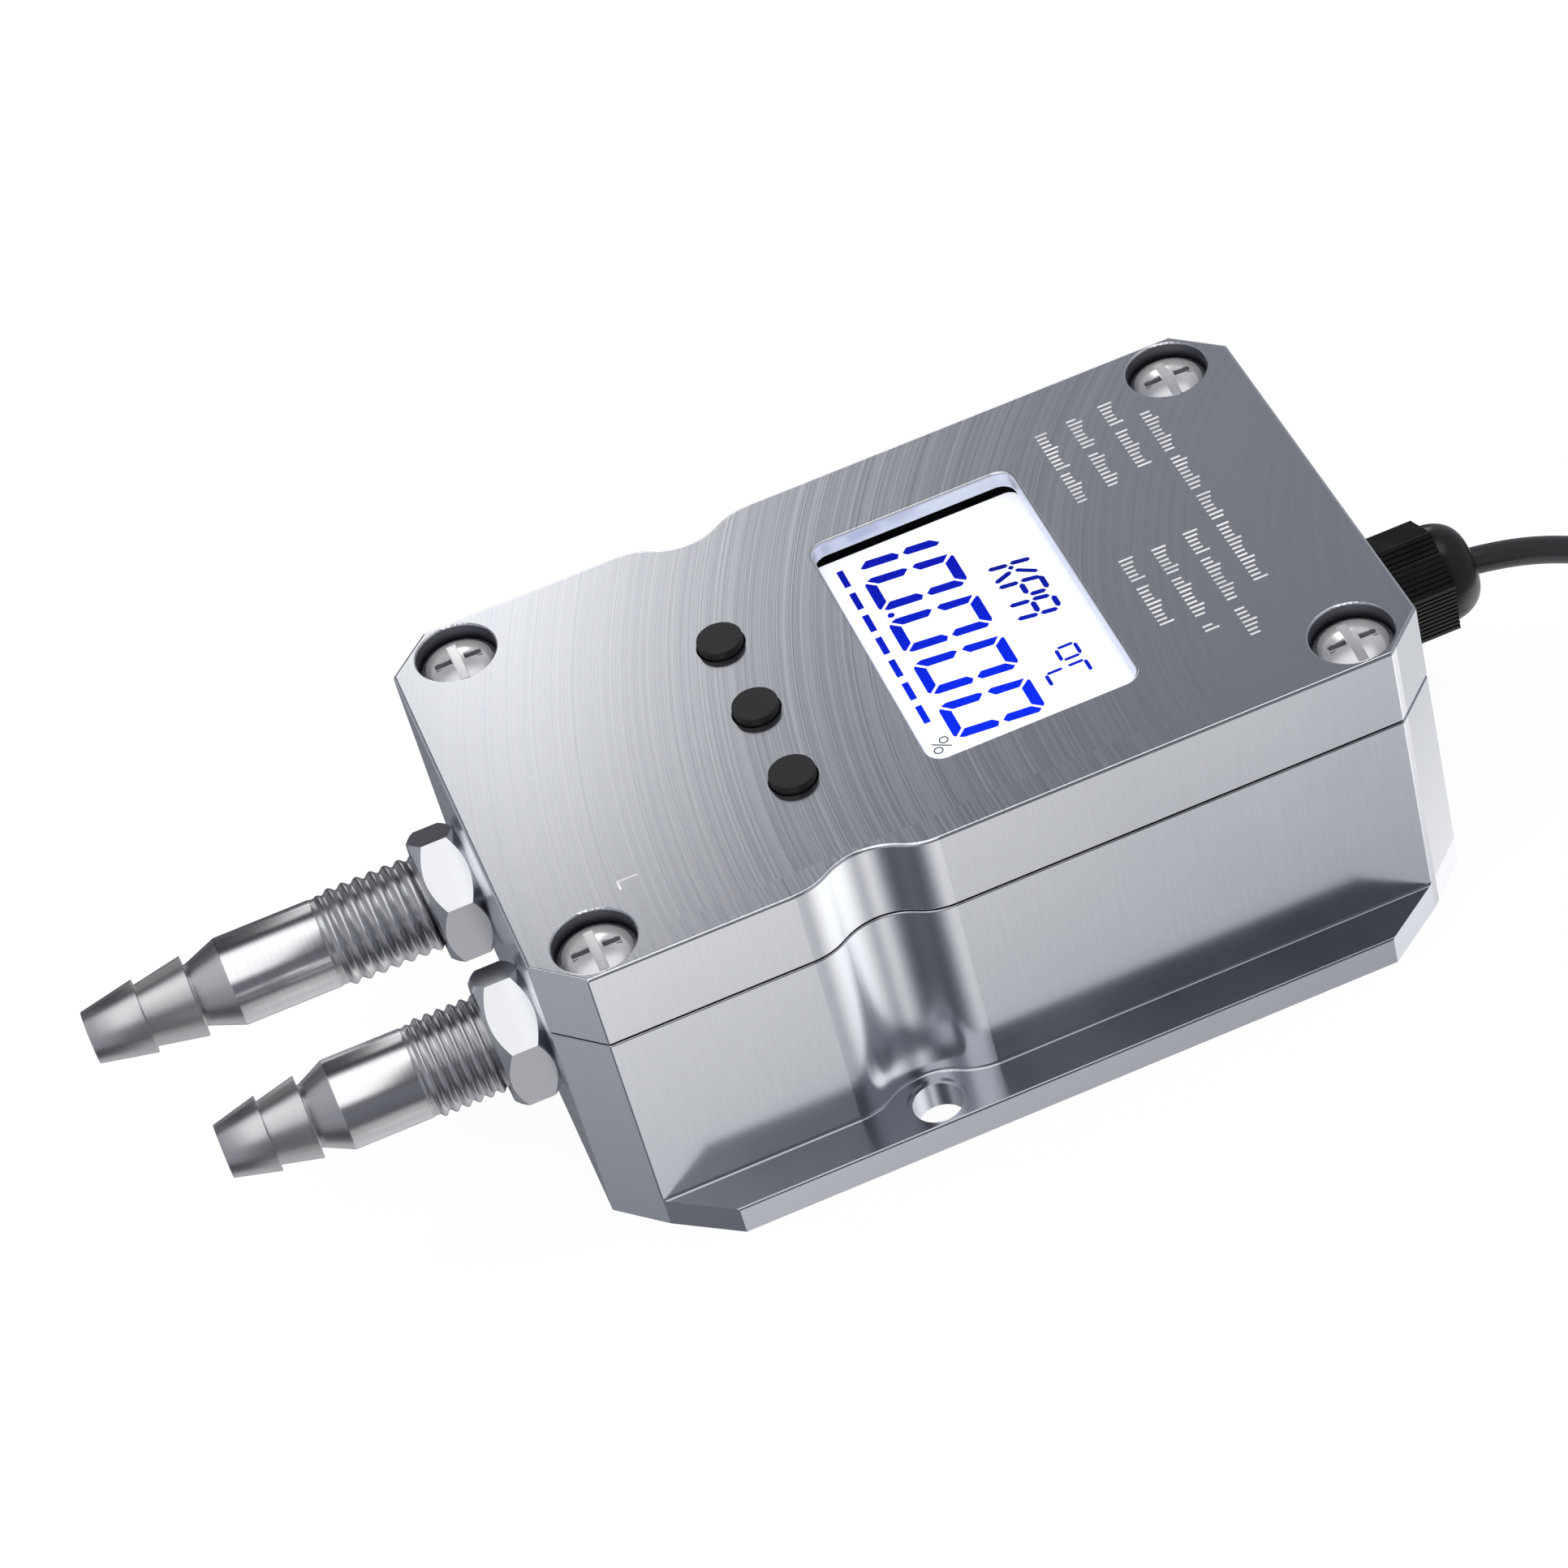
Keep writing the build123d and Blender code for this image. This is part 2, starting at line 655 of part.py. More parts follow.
# Ports: side +1 is the long high-pressure barb, side -1 the short low-pressure one
for side, name, ratio in ((1, "high", long_port_ratio), (-1, "low", 1.0)):
    thread_end = -half_length - port_thread_reach * ratio
    barrel_end = thread_end - port_barrel_length * ratio
    cone_end = barrel_end - port_cone_length * ratio
    rear_ridge = cone_end - port_neck_land
    front_ridge = rear_ridge - port_rear_ridge_length * ratio
    tip = front_ridge - port_front_ridge_length * ratio
    axis_point = (0, side * port_y, port_z)
    with BuildPart() as hose_barb:
        with BuildSketch(Plane(axis_point, x_dir=(1, 0, 0), z_dir=(0, -1, 0))):
            with BuildLine():
                Polyline(
                    (tip, port_bore_radius),
                    (tip, port_tip_radius),
                    (front_ridge, port_front_ridge_radius),
                    (front_ridge, port_neck_radius),
                    (rear_ridge, port_rear_ridge_radius),
                    (rear_ridge, port_neck_radius),
                    (cone_end, port_neck_radius),
                    (barrel_end, port_barrel_radius),
                    (thread_end, port_barrel_radius),
                    (thread_end + port_relief, port_thread_radius),
                    (-port_inner_end, port_thread_radius),
                    (-port_inner_end, spigot_radius),
                    (-port_inner_end + spigot_length, spigot_radius),
                    (-port_inner_end + spigot_length, spigot_bore_radius),
                    (-port_inner_end, spigot_bore_radius),
                    (-port_inner_end, port_bore_radius),
                    close=True,
                )
            make_face()
        revolve(axis=Axis(axis_point, (1, 0, 0)))
    hose_barb.part.label = f"hose_barb_{name}"
    export_step(hose_barb.part, f"parts/hose_barb_{name}.step")

    # Lock nut, a hexagonal bar cut by a cone at both faces
    nut_corner = port_nut_across_flats / math.sqrt(3)
    chamfer_run = (nut_corner - port_nut_across_flats / 2) * math.tan(math.radians(nut_chamfer_angle))
    nut_start = -half_length - port_nut_thickness
    with BuildPart() as lock_nut:
        with BuildSketch(Plane.YZ.offset(nut_start)):
            with Locations((side * port_y, port_z)):
                RegularPolygon(nut_corner, 6, rotation=port_nut_turn)
                Circle(port_thread_radius + fit_clearance, mode=Mode.SUBTRACT)
        extrude(amount=port_nut_thickness)
        with BuildSketch(Plane(axis_point, x_dir=(1, 0, 0), z_dir=(0, -1, 0))):
            with BuildLine():
                Polyline(
                    (nut_start, 0),
                    (nut_start, port_nut_across_flats / 2 - 0.2),
                    (nut_start + 2 * chamfer_run, nut_corner),
                    (-half_length - 2 * chamfer_run, nut_corner),
                    (-half_length, port_nut_across_flats / 2 - 0.2),
                    (-half_length, 0),
                    close=True,
                )
            make_face()
        revolve(axis=Axis(axis_point, (1, 0, 0)), mode=Mode.INTERSECT)
    lock_nut.part.label = f"lock_nut_{name}"
    export_step(lock_nut.part, f"parts/lock_nut_{name}.step")

    # Silicone tube from the barb's spigot to the sensor's nipple
    tube_start = -port_inner_end + tube_end_gap
    tube_stop = sensor_min_x - tube_end_gap
    corner_1 = (tube_start + tube_first_run, side * port_y, port_z)
    corner_2 = (tube_stop - tube_last_run, side * nipple_y, port_z)
    slant = math.atan2(port_y - nipple_y, corner_2[0] - corner_1[0])
    bend = 0.45 * tube_first_run / math.tan(slant / 2)
    with BuildPart() as sensor_tube:
        with BuildLine() as tube_path:
            FilletPolyline(
                (tube_start, side * port_y, port_z),
                corner_1,
                corner_2,
                (tube_stop, side * nipple_y, port_z),
                radius=bend,
            )
        with BuildSketch(Plane((tube_start, side * port_y, port_z), z_dir=(1, 0, 0))):
            Circle(spigot_radius + tube_clearance + tube_wall)
            Circle(spigot_radius + tube_clearance, mode=Mode.SUBTRACT)
        sweep(path=tube_path.line)
    sensor_tube.part.label = f"sensor_tube_{name}"
    export_step(sensor_tube.part, f"parts/sensor_tube_{name}.step")

# Terminal block
with BuildPart() as terminal_block:
    with BuildSketch(Plane.XY.offset(main_board_top)):
        with Locations((terminal_max_x - terminal_length / 2, 0)):
            Rectangle(terminal_length, terminal_width)
    extrude(amount=terminal_height)
terminal_block.part.label = "terminal_block"
export_step(terminal_block.part, "parts/terminal_block.step")

# Headers and the ribbon between the boards
with BuildPart() as header_display:
    with BuildSketch(Plane.XY.offset(display_board_bottom)):
        with Locations((display_header_x, 0)):
            Rectangle(header_length, header_width)
    extrude(amount=-header_height)
header_display.part.label = "header_display"
export_step(header_display.part, "parts/header_display.step")

with BuildPart() as header_main:
    with BuildSketch(Plane.XY.offset(main_board_top)):
        with Locations((main_header_x, 0)):
            Rectangle(header_length, header_width)
    extrude(amount=header_height)
header_main.part.label = "header_main"
export_step(header_main.part, "parts/header_main.step")

ribbon_top = display_board_bottom - header_height
ribbon_bottom = main_board_top + header_height
with BuildPart() as board_ribbon:
    with BuildLine() as ribbon_path:
        FilletPolyline(
            (display_header_x, 0, ribbon_top),
            (display_header_x, 0, ribbon_top - ribbon_drop),
            (main_header_x, 0, ribbon_bottom + ribbon_drop),
            (main_header_x, 0, ribbon_bottom),
            radius=ribbon_bend,
        )
    with BuildSketch(Plane((display_header_x, 0, ribbon_top), x_dir=(1, 0, 0), z_dir=(0, 0, -1))):
        Rectangle(ribbon_thickness, ribbon_width)
    sweep(path=ribbon_path.line)
board_ribbon.part.label = "board_ribbon"
export_step(board_ribbon.part, "parts/board_ribbon.step")

# Cable gland: washer, threaded body, lock nut inside the wall, seal and ribbed dome nut
with BuildPart() as gland_washer:
    with BuildSketch(Plane.YZ.offset(half_length)):
        with Locations((0, port_z)):
            Circle(gland_washer_radius)
            Circle(gland_thread_radius + fit_clearance, mode=Mode.SUBTRACT)
    extrude(amount=gland_washer_thickness)
gland_washer.part.label = "gland_washer"
export_step(gland_washer.part, "parts/gland_washer.step")

with BuildPart() as gland_body:
    with BuildSketch(Plane.YZ.offset(gland_inner_end)):
        with Locations((0, port_z)):
            Circle(gland_thread_radius)
    extrude(amount=gland_seat - gland_inner_end)
    with BuildSketch(Plane.YZ.offset(gland_seat)):
        with Locations((0, port_z)):
            RegularPolygon(gland_hex_across_flats / math.sqrt(3), 6, rotation=gland_nut_turn)
    extrude(amount=gland_hex_length)
    with BuildSketch(Plane.YZ.offset(gland_shoulder)):
        with Locations((0, port_z)):
            Circle(gland_neck_radius)
    extrude(amount=gland_neck_length)
    with BuildSketch(Plane.YZ.offset(gland_inner_end)):
        with Locations((0, port_z)):
            Circle(gland_bore_radius)
    extrude(amount=seal_start - gland_inner_end, mode=Mode.SUBTRACT)
    with BuildSketch(Plane.YZ.offset(seal_start)):
        with Locations((0, port_z)):
            Circle(seal_radius + fit_clearance)
    extrude(amount=gland_neck_length, mode=Mode.SUBTRACT)
gland_body.part.label = "gland_body"
export_step(gland_body.part, "parts/gland_body.step")

with BuildPart() as gland_lock_nut:
    with BuildSketch(Plane.YZ.offset(inner_end)):
        with Locations((0, port_z)):
            RegularPolygon(gland_lock_across_flats / math.sqrt(3), 6)
            Circle(gland_thread_radius + fit_clearance, mode=Mode.SUBTRACT)
    extrude(amount=-gland_lock_thickness)
gland_lock_nut.part.label = "gland_lock_nut"
export_step(gland_lock_nut.part, "parts/gland_lock_nut.step")

with BuildPart() as gland_seal:
    with BuildSketch(Plane.YZ.offset(seal_start)):
        with Locations((0, port_z)):
            Circle(seal_radius)
            Circle(cable_radius + fit_clearance, mode=Mode.SUBTRACT)
    extrude(amount=gland_mouth_start - seal_start)
gland_seal.part.label = "gland_seal"
export_step(gland_seal.part, "parts/gland_seal.step")

gland_corner = gland_nut_across_flats / math.sqrt(3)
gland_axis = (0, 0, port_z)
with BuildPart() as gland_nut:
    with BuildSketch(Plane.YZ.offset(gland_nut_start)):
        with Locations((0, port_z)):
            RegularPolygon(gland_corner, 6, rotation=gland_nut_turn + 30)
            with PolarLocations(0, 6, start_angle=gland_nut_turn):
                first_gap = -rib_pitch * (rib_count - 1) / 2
                for step in range(rib_count):
                    with Locations((gland_nut_across_flats / 2, first_gap + step * rib_pitch)):
                        Rectangle(2 * rib_depth, rib_gap, mode=Mode.SUBTRACT)
    extrude(amount=gland_nut_length)
    with BuildSketch(Plane(gland_axis, x_dir=(1, 0, 0), z_dir=(0, -1, 0))):
        with BuildLine():
            Polyline(
                (gland_tip, gland_mouth_radius + gland_mouth_rim),
                (gland_tip, gland_mouth_radius),
                (gland_nut_start, gland_mouth_radius),
                (gland_nut_start, gland_dome_radius),
                (gland_dome_start, gland_dome_radius),
            )
            EllipticalCenterArc(
                (gland_dome_start, gland_mouth_radius + gland_mouth_rim),
                gland_dome_length,
                gland_dome_radius - gland_mouth_radius - gland_mouth_rim,
                start_angle=0,
                arc_size=90,
            )
        make_face()
    revolve(axis=Axis(gland_axis, (1, 0, 0)))
    with BuildSketch(Plane.YZ.offset(gland_nut_start)):
        with Locations((0, port_z)):
            Circle(gland_neck_radius + fit_clearance)
    extrude(amount=gland_shoulder + gland_neck_length + fit_clearance - gland_nut_start, mode=Mode.SUBTRACT)
    with BuildSketch(Plane.YZ.offset(gland_nut_start)):
        with Locations((0, port_z)):
            Circle(seal_radius + fit_clearance)
    extrude(amount=gland_mouth_start - gland_nut_start, mode=Mode.SUBTRACT)
    with BuildSketch(Plane.YZ.offset(gland_nut_start)):
        with Locations((0, port_z)):
            Circle(gland_mouth_radius)
    extrude(amount=gland_tip - gland_nut_start, mode=Mode.SUBTRACT)
gland_nut.part.label = "gland_nut"
export_step(gland_nut.part, "parts/gland_nut.step")

# Stretch of cable inside the gland
with BuildPart() as cable_inner:
    with BuildSketch(Plane.YZ.offset(cable_inner_x)):
        with Locations((0, port_z)):
            Circle(cable_radius)
    extrude(amount=cable_joint_x - cable_inner_x)
cable_inner.part.label = "cable_inner"
export_step(cable_inner.part, "parts/cable_inner.step")


# Radii of the arcs along a route: 0.45 of the shorter run over the tangent of half the turn
def route_radii(route):
    points = [Vector(*point) for point in route]
    radii = []
    for before, here, after in zip(points, points[1:], points[2:]):
        run_in = here - before
        run_out = after - here
        half_turn = math.radians(run_in.get_angle(run_out)) / 2
        radii.append(0.45 * min(run_in.length, run_out.length) / math.tan(half_turn))
    return radii


# Round tube along a route, with its arc radii and its volume against section times length
def route_tube(route, radius, name):
    radii = route_radii(route)
    start = Vector(*route[0])
    with BuildPart() as tube:
        with BuildLine() as path:
            centre = FilletPolyline(*route, radius=radii)
        with BuildSketch(Plane(start, z_dir=Vector(*route[1]) - start)):
            Circle(radius)
        sweep(path=path.line)
    length = centre.length
    expected = math.pi * radius**2 * length
    rounded = [round(value, 1) for value in radii]
    print(f"{name}: length {length:.1f}, radii {rounded}, volume {tube.part.volume / expected:.4f} of expected")
    tube.part.label = name
    export_step(tube.part, f"parts/{name}.step")
    return length


# Cores from the end of the jacket to the terminal block
for number, side in ((1, 1), (2, -1)):
    core_route = [
        (cable_inner_x, side * core_spacing, port_z),
        (cable_inner_x - core_run, side * core_spacing, port_z),
        (terminal_max_x + core_run, side * core_entry_spacing, core_entry_z),
        (terminal_max_x, side * core_entry_spacing, core_entry_z),
    ]
    route_tube(core_route, core_radius, f"core_{number}")

# Free cord: out of the gland, down to the floor and into the coil
cord_route = [
    (cable_joint_x, 0, port_z),
    (cable_joint_x + 5.6, 0, port_z - 0.8),
    (cable_joint_x + 14.4, 0, port_z - 4.2),
    (cable_joint_x + 23.4, -0.5, port_z - 9.8),
    (cable_joint_x + 33.4, -1.5, port_z - 15.4),
    (cable_joint_x + 45.4, -2.7, cable_radius),
    (coil_x, coil_y - coil_mean_radius - cable_diameter, cable_radius),
]
cord_length = route_tube(cord_route, cable_radius, "cable")

# Coil of the put-away length
coil_outer = coil_mean_radius + coil_abreast * cable_diameter / 2
coil_inner = coil_mean_radius - coil_abreast * cable_diameter / 2
with BuildPart() as cable_coil:
    with BuildSketch():
        with Locations((coil_x, coil_y)):
            Circle(coil_outer)
            Circle(coil_inner, mode=Mode.SUBTRACT)
    extrude(amount=coil_layers * cable_diameter)
cable_coil.part.label = "cable_coil"
export_step(cable_coil.part, "parts/cable_coil.step")

# End of the cord, round the outside of the coil
end_offsets = [
    (0, -coil_mean_radius - cable_diameter, cable_radius + cable_diameter),
    (11.5, -26.2, 4.6),
    (21.5, -21.8, 2.5),
    (28.8, -12.0, cable_radius),
    (31.0, 0.5, cable_radius),
    (28.6, 12.6, cable_radius),
    (22.2, 23.0, cable_radius),
]
end_route = [(coil_x + x, coil_y + y, z) for x, y, z in end_offsets]
end_length = route_tube(end_route, cable_radius, "cable_end")
turns_length = coil_abreast * coil_layers * 2 * math.pi * coil_mean_radius
print(f"cord length without leads: {cord_length + turns_length + end_length:.0f}")

# Bare leads: two cores with stripped tips, lying on the floor
last = Vector(*end_route[-1])
heading = (last - Vector(*end_route[-2])).normalized()
across = Vector(-heading.Y, heading.X, 0)
for number, side in ((1, 1), (2, -1)):
    start = last + across * side * core_spacing
    middle = start + heading * (lead_length / 3) + across * side * lead_spread / 4
    middle = Vector(middle.X, middle.Y, core_radius + 0.1)
    end = start + heading * (lead_length - lead_tip_length) + across * side * lead_spread
    end = Vector(end.X, end.Y, core_radius)
    lead_direction = (end - middle).normalized()
    lead_route = [tuple(start), tuple(middle), tuple(end)]
    with BuildPart() as lead:
        with BuildLine() as lead_path:
            FilletPolyline(*lead_route, radius=route_radii(lead_route))
        with BuildSketch(Plane(start, z_dir=middle - start)):
            Circle(core_radius)
        sweep(path=lead_path.line)
        with BuildSketch(Plane(end, z_dir=lead_direction)):
            Circle(lead_tip_radius)
        extrude(amount=lead_tip_length)
    lead.part.label = f"lead_{number}"
    export_step(lead.part, f"parts/lead_{number}.step")
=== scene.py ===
import json
import math

import bmesh
import bpy
from mathutils import Matrix, Vector


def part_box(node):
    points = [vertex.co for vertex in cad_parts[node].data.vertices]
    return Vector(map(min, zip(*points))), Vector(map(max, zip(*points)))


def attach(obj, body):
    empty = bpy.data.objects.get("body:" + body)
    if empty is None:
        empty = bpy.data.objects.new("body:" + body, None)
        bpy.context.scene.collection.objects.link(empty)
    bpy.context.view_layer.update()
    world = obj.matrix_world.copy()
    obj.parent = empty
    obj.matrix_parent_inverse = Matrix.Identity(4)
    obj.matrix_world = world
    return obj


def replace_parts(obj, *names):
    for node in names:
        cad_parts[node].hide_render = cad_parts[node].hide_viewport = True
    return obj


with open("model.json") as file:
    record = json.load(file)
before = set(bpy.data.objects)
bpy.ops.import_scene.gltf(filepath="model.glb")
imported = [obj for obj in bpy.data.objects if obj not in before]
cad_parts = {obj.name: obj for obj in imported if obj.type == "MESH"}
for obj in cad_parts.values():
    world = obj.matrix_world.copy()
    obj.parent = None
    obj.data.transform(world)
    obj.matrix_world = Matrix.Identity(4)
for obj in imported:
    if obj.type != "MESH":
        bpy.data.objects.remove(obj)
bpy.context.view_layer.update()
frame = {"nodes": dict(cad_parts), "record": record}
nodes = frame["nodes"]
mm = 0.001  # sizes are in millimetres, apart from the studio's
lidCorners = range(1, 5)  # the numbers of the lid's screws and washers
print("frame loaded:", len(nodes), "solids")


def colour(code):  # a web colour as the linear colour that shaders take
    parts = [int(code[place:place + 2], 16) / 255 for place in (0, 2, 4)]
    return tuple((part / 12.92) if part < 0.04 else ((part + 0.055) / 1.055) ** 2.4 for part in parts) + (1,)


black = colour("000000")
white = (1, 1, 1, 1)


def addObject(name, data):
    made = bpy.data.objects.new(name, data)
    bpy.context.collection.objects.link(made)
    return made


# Camera, standing where the photograph was taken from
view = {
    "eye": (-83.729, -451.004, 452.685),
    "right": (0.92168487, -0.32858523, -0.20622497),
    "down": (-0.37319975, -0.60586634, -0.70260083),
    "ahead": (0.10591949, 0.72453967, -0.68104577),
    "lens": 114.695,
}


def addCamera():
    lens = bpy.data.cameras.new("camera")
    lens.lens = view["lens"]
    lens.sensor_width = 36
    lens.clip_start = 0.01
    camera = addObject("camera", lens)
    rows = [view["right"], [-part for part in view["down"]], [-part for part in view["ahead"]]]
    camera.matrix_world = Matrix.Translation(Vector(view["eye"]) * mm) @ Matrix(rows).transposed().to_4x4()
    bpy.context.scene.camera = camera


addCamera()
bpy.context.scene.view_settings.view_transform = "Standard"
print("camera placed")


# Shader maths: a value is a socket that takes the plain operators
class Value:
    def __init__(self, finish, socket):
        self.finish = finish
        self.socket = socket

    def math(self, operation, *others):
        return self.finish.node("ShaderNodeMath", {"operation": operation}, (self, *others))

    def __add__(self, other):
        return self.math("ADD", other)

    def __sub__(self, other):
        return self.math("SUBTRACT", other)

    def __mul__(self, other):
        return self.math("MULTIPLY", other)

    def __truediv__(self, other):
        return self.math("DIVIDE", other)

    def __pow__(self, other):
        return self.math("POWER", other)

    def __gt__(self, other):
        return self.math("GREATER_THAN", other)

    def __lt__(self, other):
        return self.math("LESS_THAN", other)

    def __rsub__(self, other):
        return self.finish.node("ShaderNodeMath", {"operation": "SUBTRACT"}, (other, self))

    def __rtruediv__(self, other):
        return self.finish.node("ShaderNodeMath", {"operation": "DIVIDE"}, (other, self))

    __radd__ = __add__
    __rmul__ = __mul__


def mix(first, second, share):  # numbers or values, from first at 0 to second at 1
    return first + (second - first) * share


class Graph:  # a node tree, of a material or of the world
    def __init__(self, tree):
        self.tree = tree

    # any node, from its type, its settings and the values or links of its sockets
    def node(self, kind, settings=None, sockets=(), output=0):
        made = self.tree.nodes.new(kind)
        for name, value in (settings or {}).items():
            if name == "stops":
                ramp = made.color_ramp
                while len(ramp.elements) < len(value):
                    ramp.elements.new(0.5)
                for element, (place, shade) in zip(ramp.elements, value):
                    element.position = place
                    element.color = (shade, shade, shade, 1) if isinstance(shade, (int, float)) else shade
            else:
                setattr(made, name, value)
        pairs = sockets.items() if isinstance(sockets, dict) else enumerate(sockets)
        for key, value in pairs:
            if isinstance(value, Value):
                self.tree.links.new(value.socket, made.inputs[key])
            else:
                made.inputs[key].default_value = value
        return Value(self, made.outputs[output])

    def parts(self, vector):
        return [self.node("ShaderNodeSeparateXYZ", sockets=(vector,), output=axis) for axis in range(3)]

    def vector(self, x, y, z):
        return self.node("ShaderNodeCombineXYZ", sockets=(x, y, z))

    def noise(self, vector, scale, detail=2.0, roughness=0.5):
        return self.node("ShaderNodeTexNoise", sockets={
            "Vector": vector, "Scale": scale, "Detail": detail, "Roughness": roughness})

    def ramp(self, value, *stops):
        return self.node("ShaderNodeValToRGB", {"stops": stops}, (value,))

    def blend(self, factor, first, second):  # a mix of two colours
        return self.node("ShaderNodeMix", {"data_type": "RGBA"}, {0: factor, 6: first, 7: second}, output=2)

    def ray(self, kind):  # 1 where a ray is of this kind
        return self.node("ShaderNodeLightPath", output=f"Is {kind} Ray")

    def steps(self, value, low, high):  # 0 below low, 1 above high, smooth between them
        return self.node("ShaderNodeMapRange", {"interpolation_type": "SMOOTHSTEP"},
                         (value, low, high, 0.0, 1.0))


class Finish(Graph):  # a material and its main shader
    def __init__(self, name, **settings):
        self.material = bpy.data.materials.new(name)
        self.material.use_nodes = True
        super().__init__(self.material.node_tree)
        self.shader = self.tree.nodes["Principled BSDF"]
        for socket, value in settings.items():
            self.shader.inputs[socket.replace("_", " ")].default_value = value

    def feed(self, socket, value):
        self.tree.links.new(value.socket, self.shader.inputs[socket])

    def place(self):  # object coordinates in millimetres, and their three parts
        spot = self.node("ShaderNodeTexCoord", output="Object")
        whole = self.node("ShaderNodeVectorMath", {"operation": "SCALE"}, {0: spot, "Scale": 1000.0})
        return whole, self.parts(whole)

    def bump(self, height, depth, strength=1.0):
        normal = self.node("ShaderNodeBump", sockets={
            "Height": height, "Distance": depth * mm, "Strength": strength})
        self.feed("Normal", normal)


# Finishes, one for each material slot of the record
housingMetal = {
    "dark": colour("c3c6cd"),
    "light": colour("f6f8fc"),
    "topRoughness": 0.17,
    "sideRoughness": 0.2,
    "relief": 0.012,
    # the sides: painted shade, darker towards the foot: the shade at a height, and how much they darken with
    # each millimetre below it
    "side": (0.66, 42.0, 0.016),
    # their upright grain: scale, stretch, part in the shade and in the relief
    "grain": (3.2, 0.06, 0.2, 0.12),
    "grainFoot": (6.0, 16.0),  # it fades out above the flanges
    "cloud": (0.05, 0.15, 0.12),  # scale, part in the shade and in the roughness
    # painted light: the right hand chamfers, from this place along X, get lighter below a height: slope, and
    # start
    "corner": (52.6, 42.0, 0.016, -0.1),
    "paintedFlangeEdgeLight": (4.2, 0.6),  # and a painted highlight once more at the flange's edge
    "paintedEdgeHighlight": (43.66, 43.97, 0.35),  # painted highlight on the fillet round the lid's top
    "lidTop": (43.78, 43.98),  # the top's own finish starts between these heights
    "arcCentre": (109.0, -31.0),  # the milling arcs of the lid's top turn about this point
    # layers of arcs: scale over the radius, scale along the turn, weight
    "arcs": [(0.25, 0.6, 0.15), (1.3, 0.12, 0.4), (3.4, 0.08, 1.0), (7.0, 0.06, 0.8)],
    "layerGap": 7.0,  # keeps the noise of one layer apart from the next
    "arcShade": (0.6, 1.2, 0.04),  # level, part of the arcs in the shade and in the roughness
    "scratches": (2.6, 0.12, 0.3, 40.0),  # scale, along the turn, weight, place in the noise
    "scratchEdge": (0.1, 0.22),
    "fine": (7.0, 0.3, 0.3, 60.0),  # scale, along the turn, relief, place in the noise
    "fade": (72.0, 118.0, 0.1),  # the arcs are fainter close to their centre, down to a tenth
    "fadeOut": (126.0, 156.0, 0.5),  # and far out, down to a half
    "window": (10.5, 0.1, 14.2, 22.8),  # middle and half sizes of the window
    "windowWall": (colour("e3e8f8"), 0.15, 0.6),  # its walls are matt: more roughness, less metal
    "bore": (49.0, 28.9, 5.32, 43.78),  # places, radius and top of the screw wells
    "paintedBoreShadeAndRoughness": (colour("6b6e75"), 0.3),  # painted shade on their walls, and more roughness
}


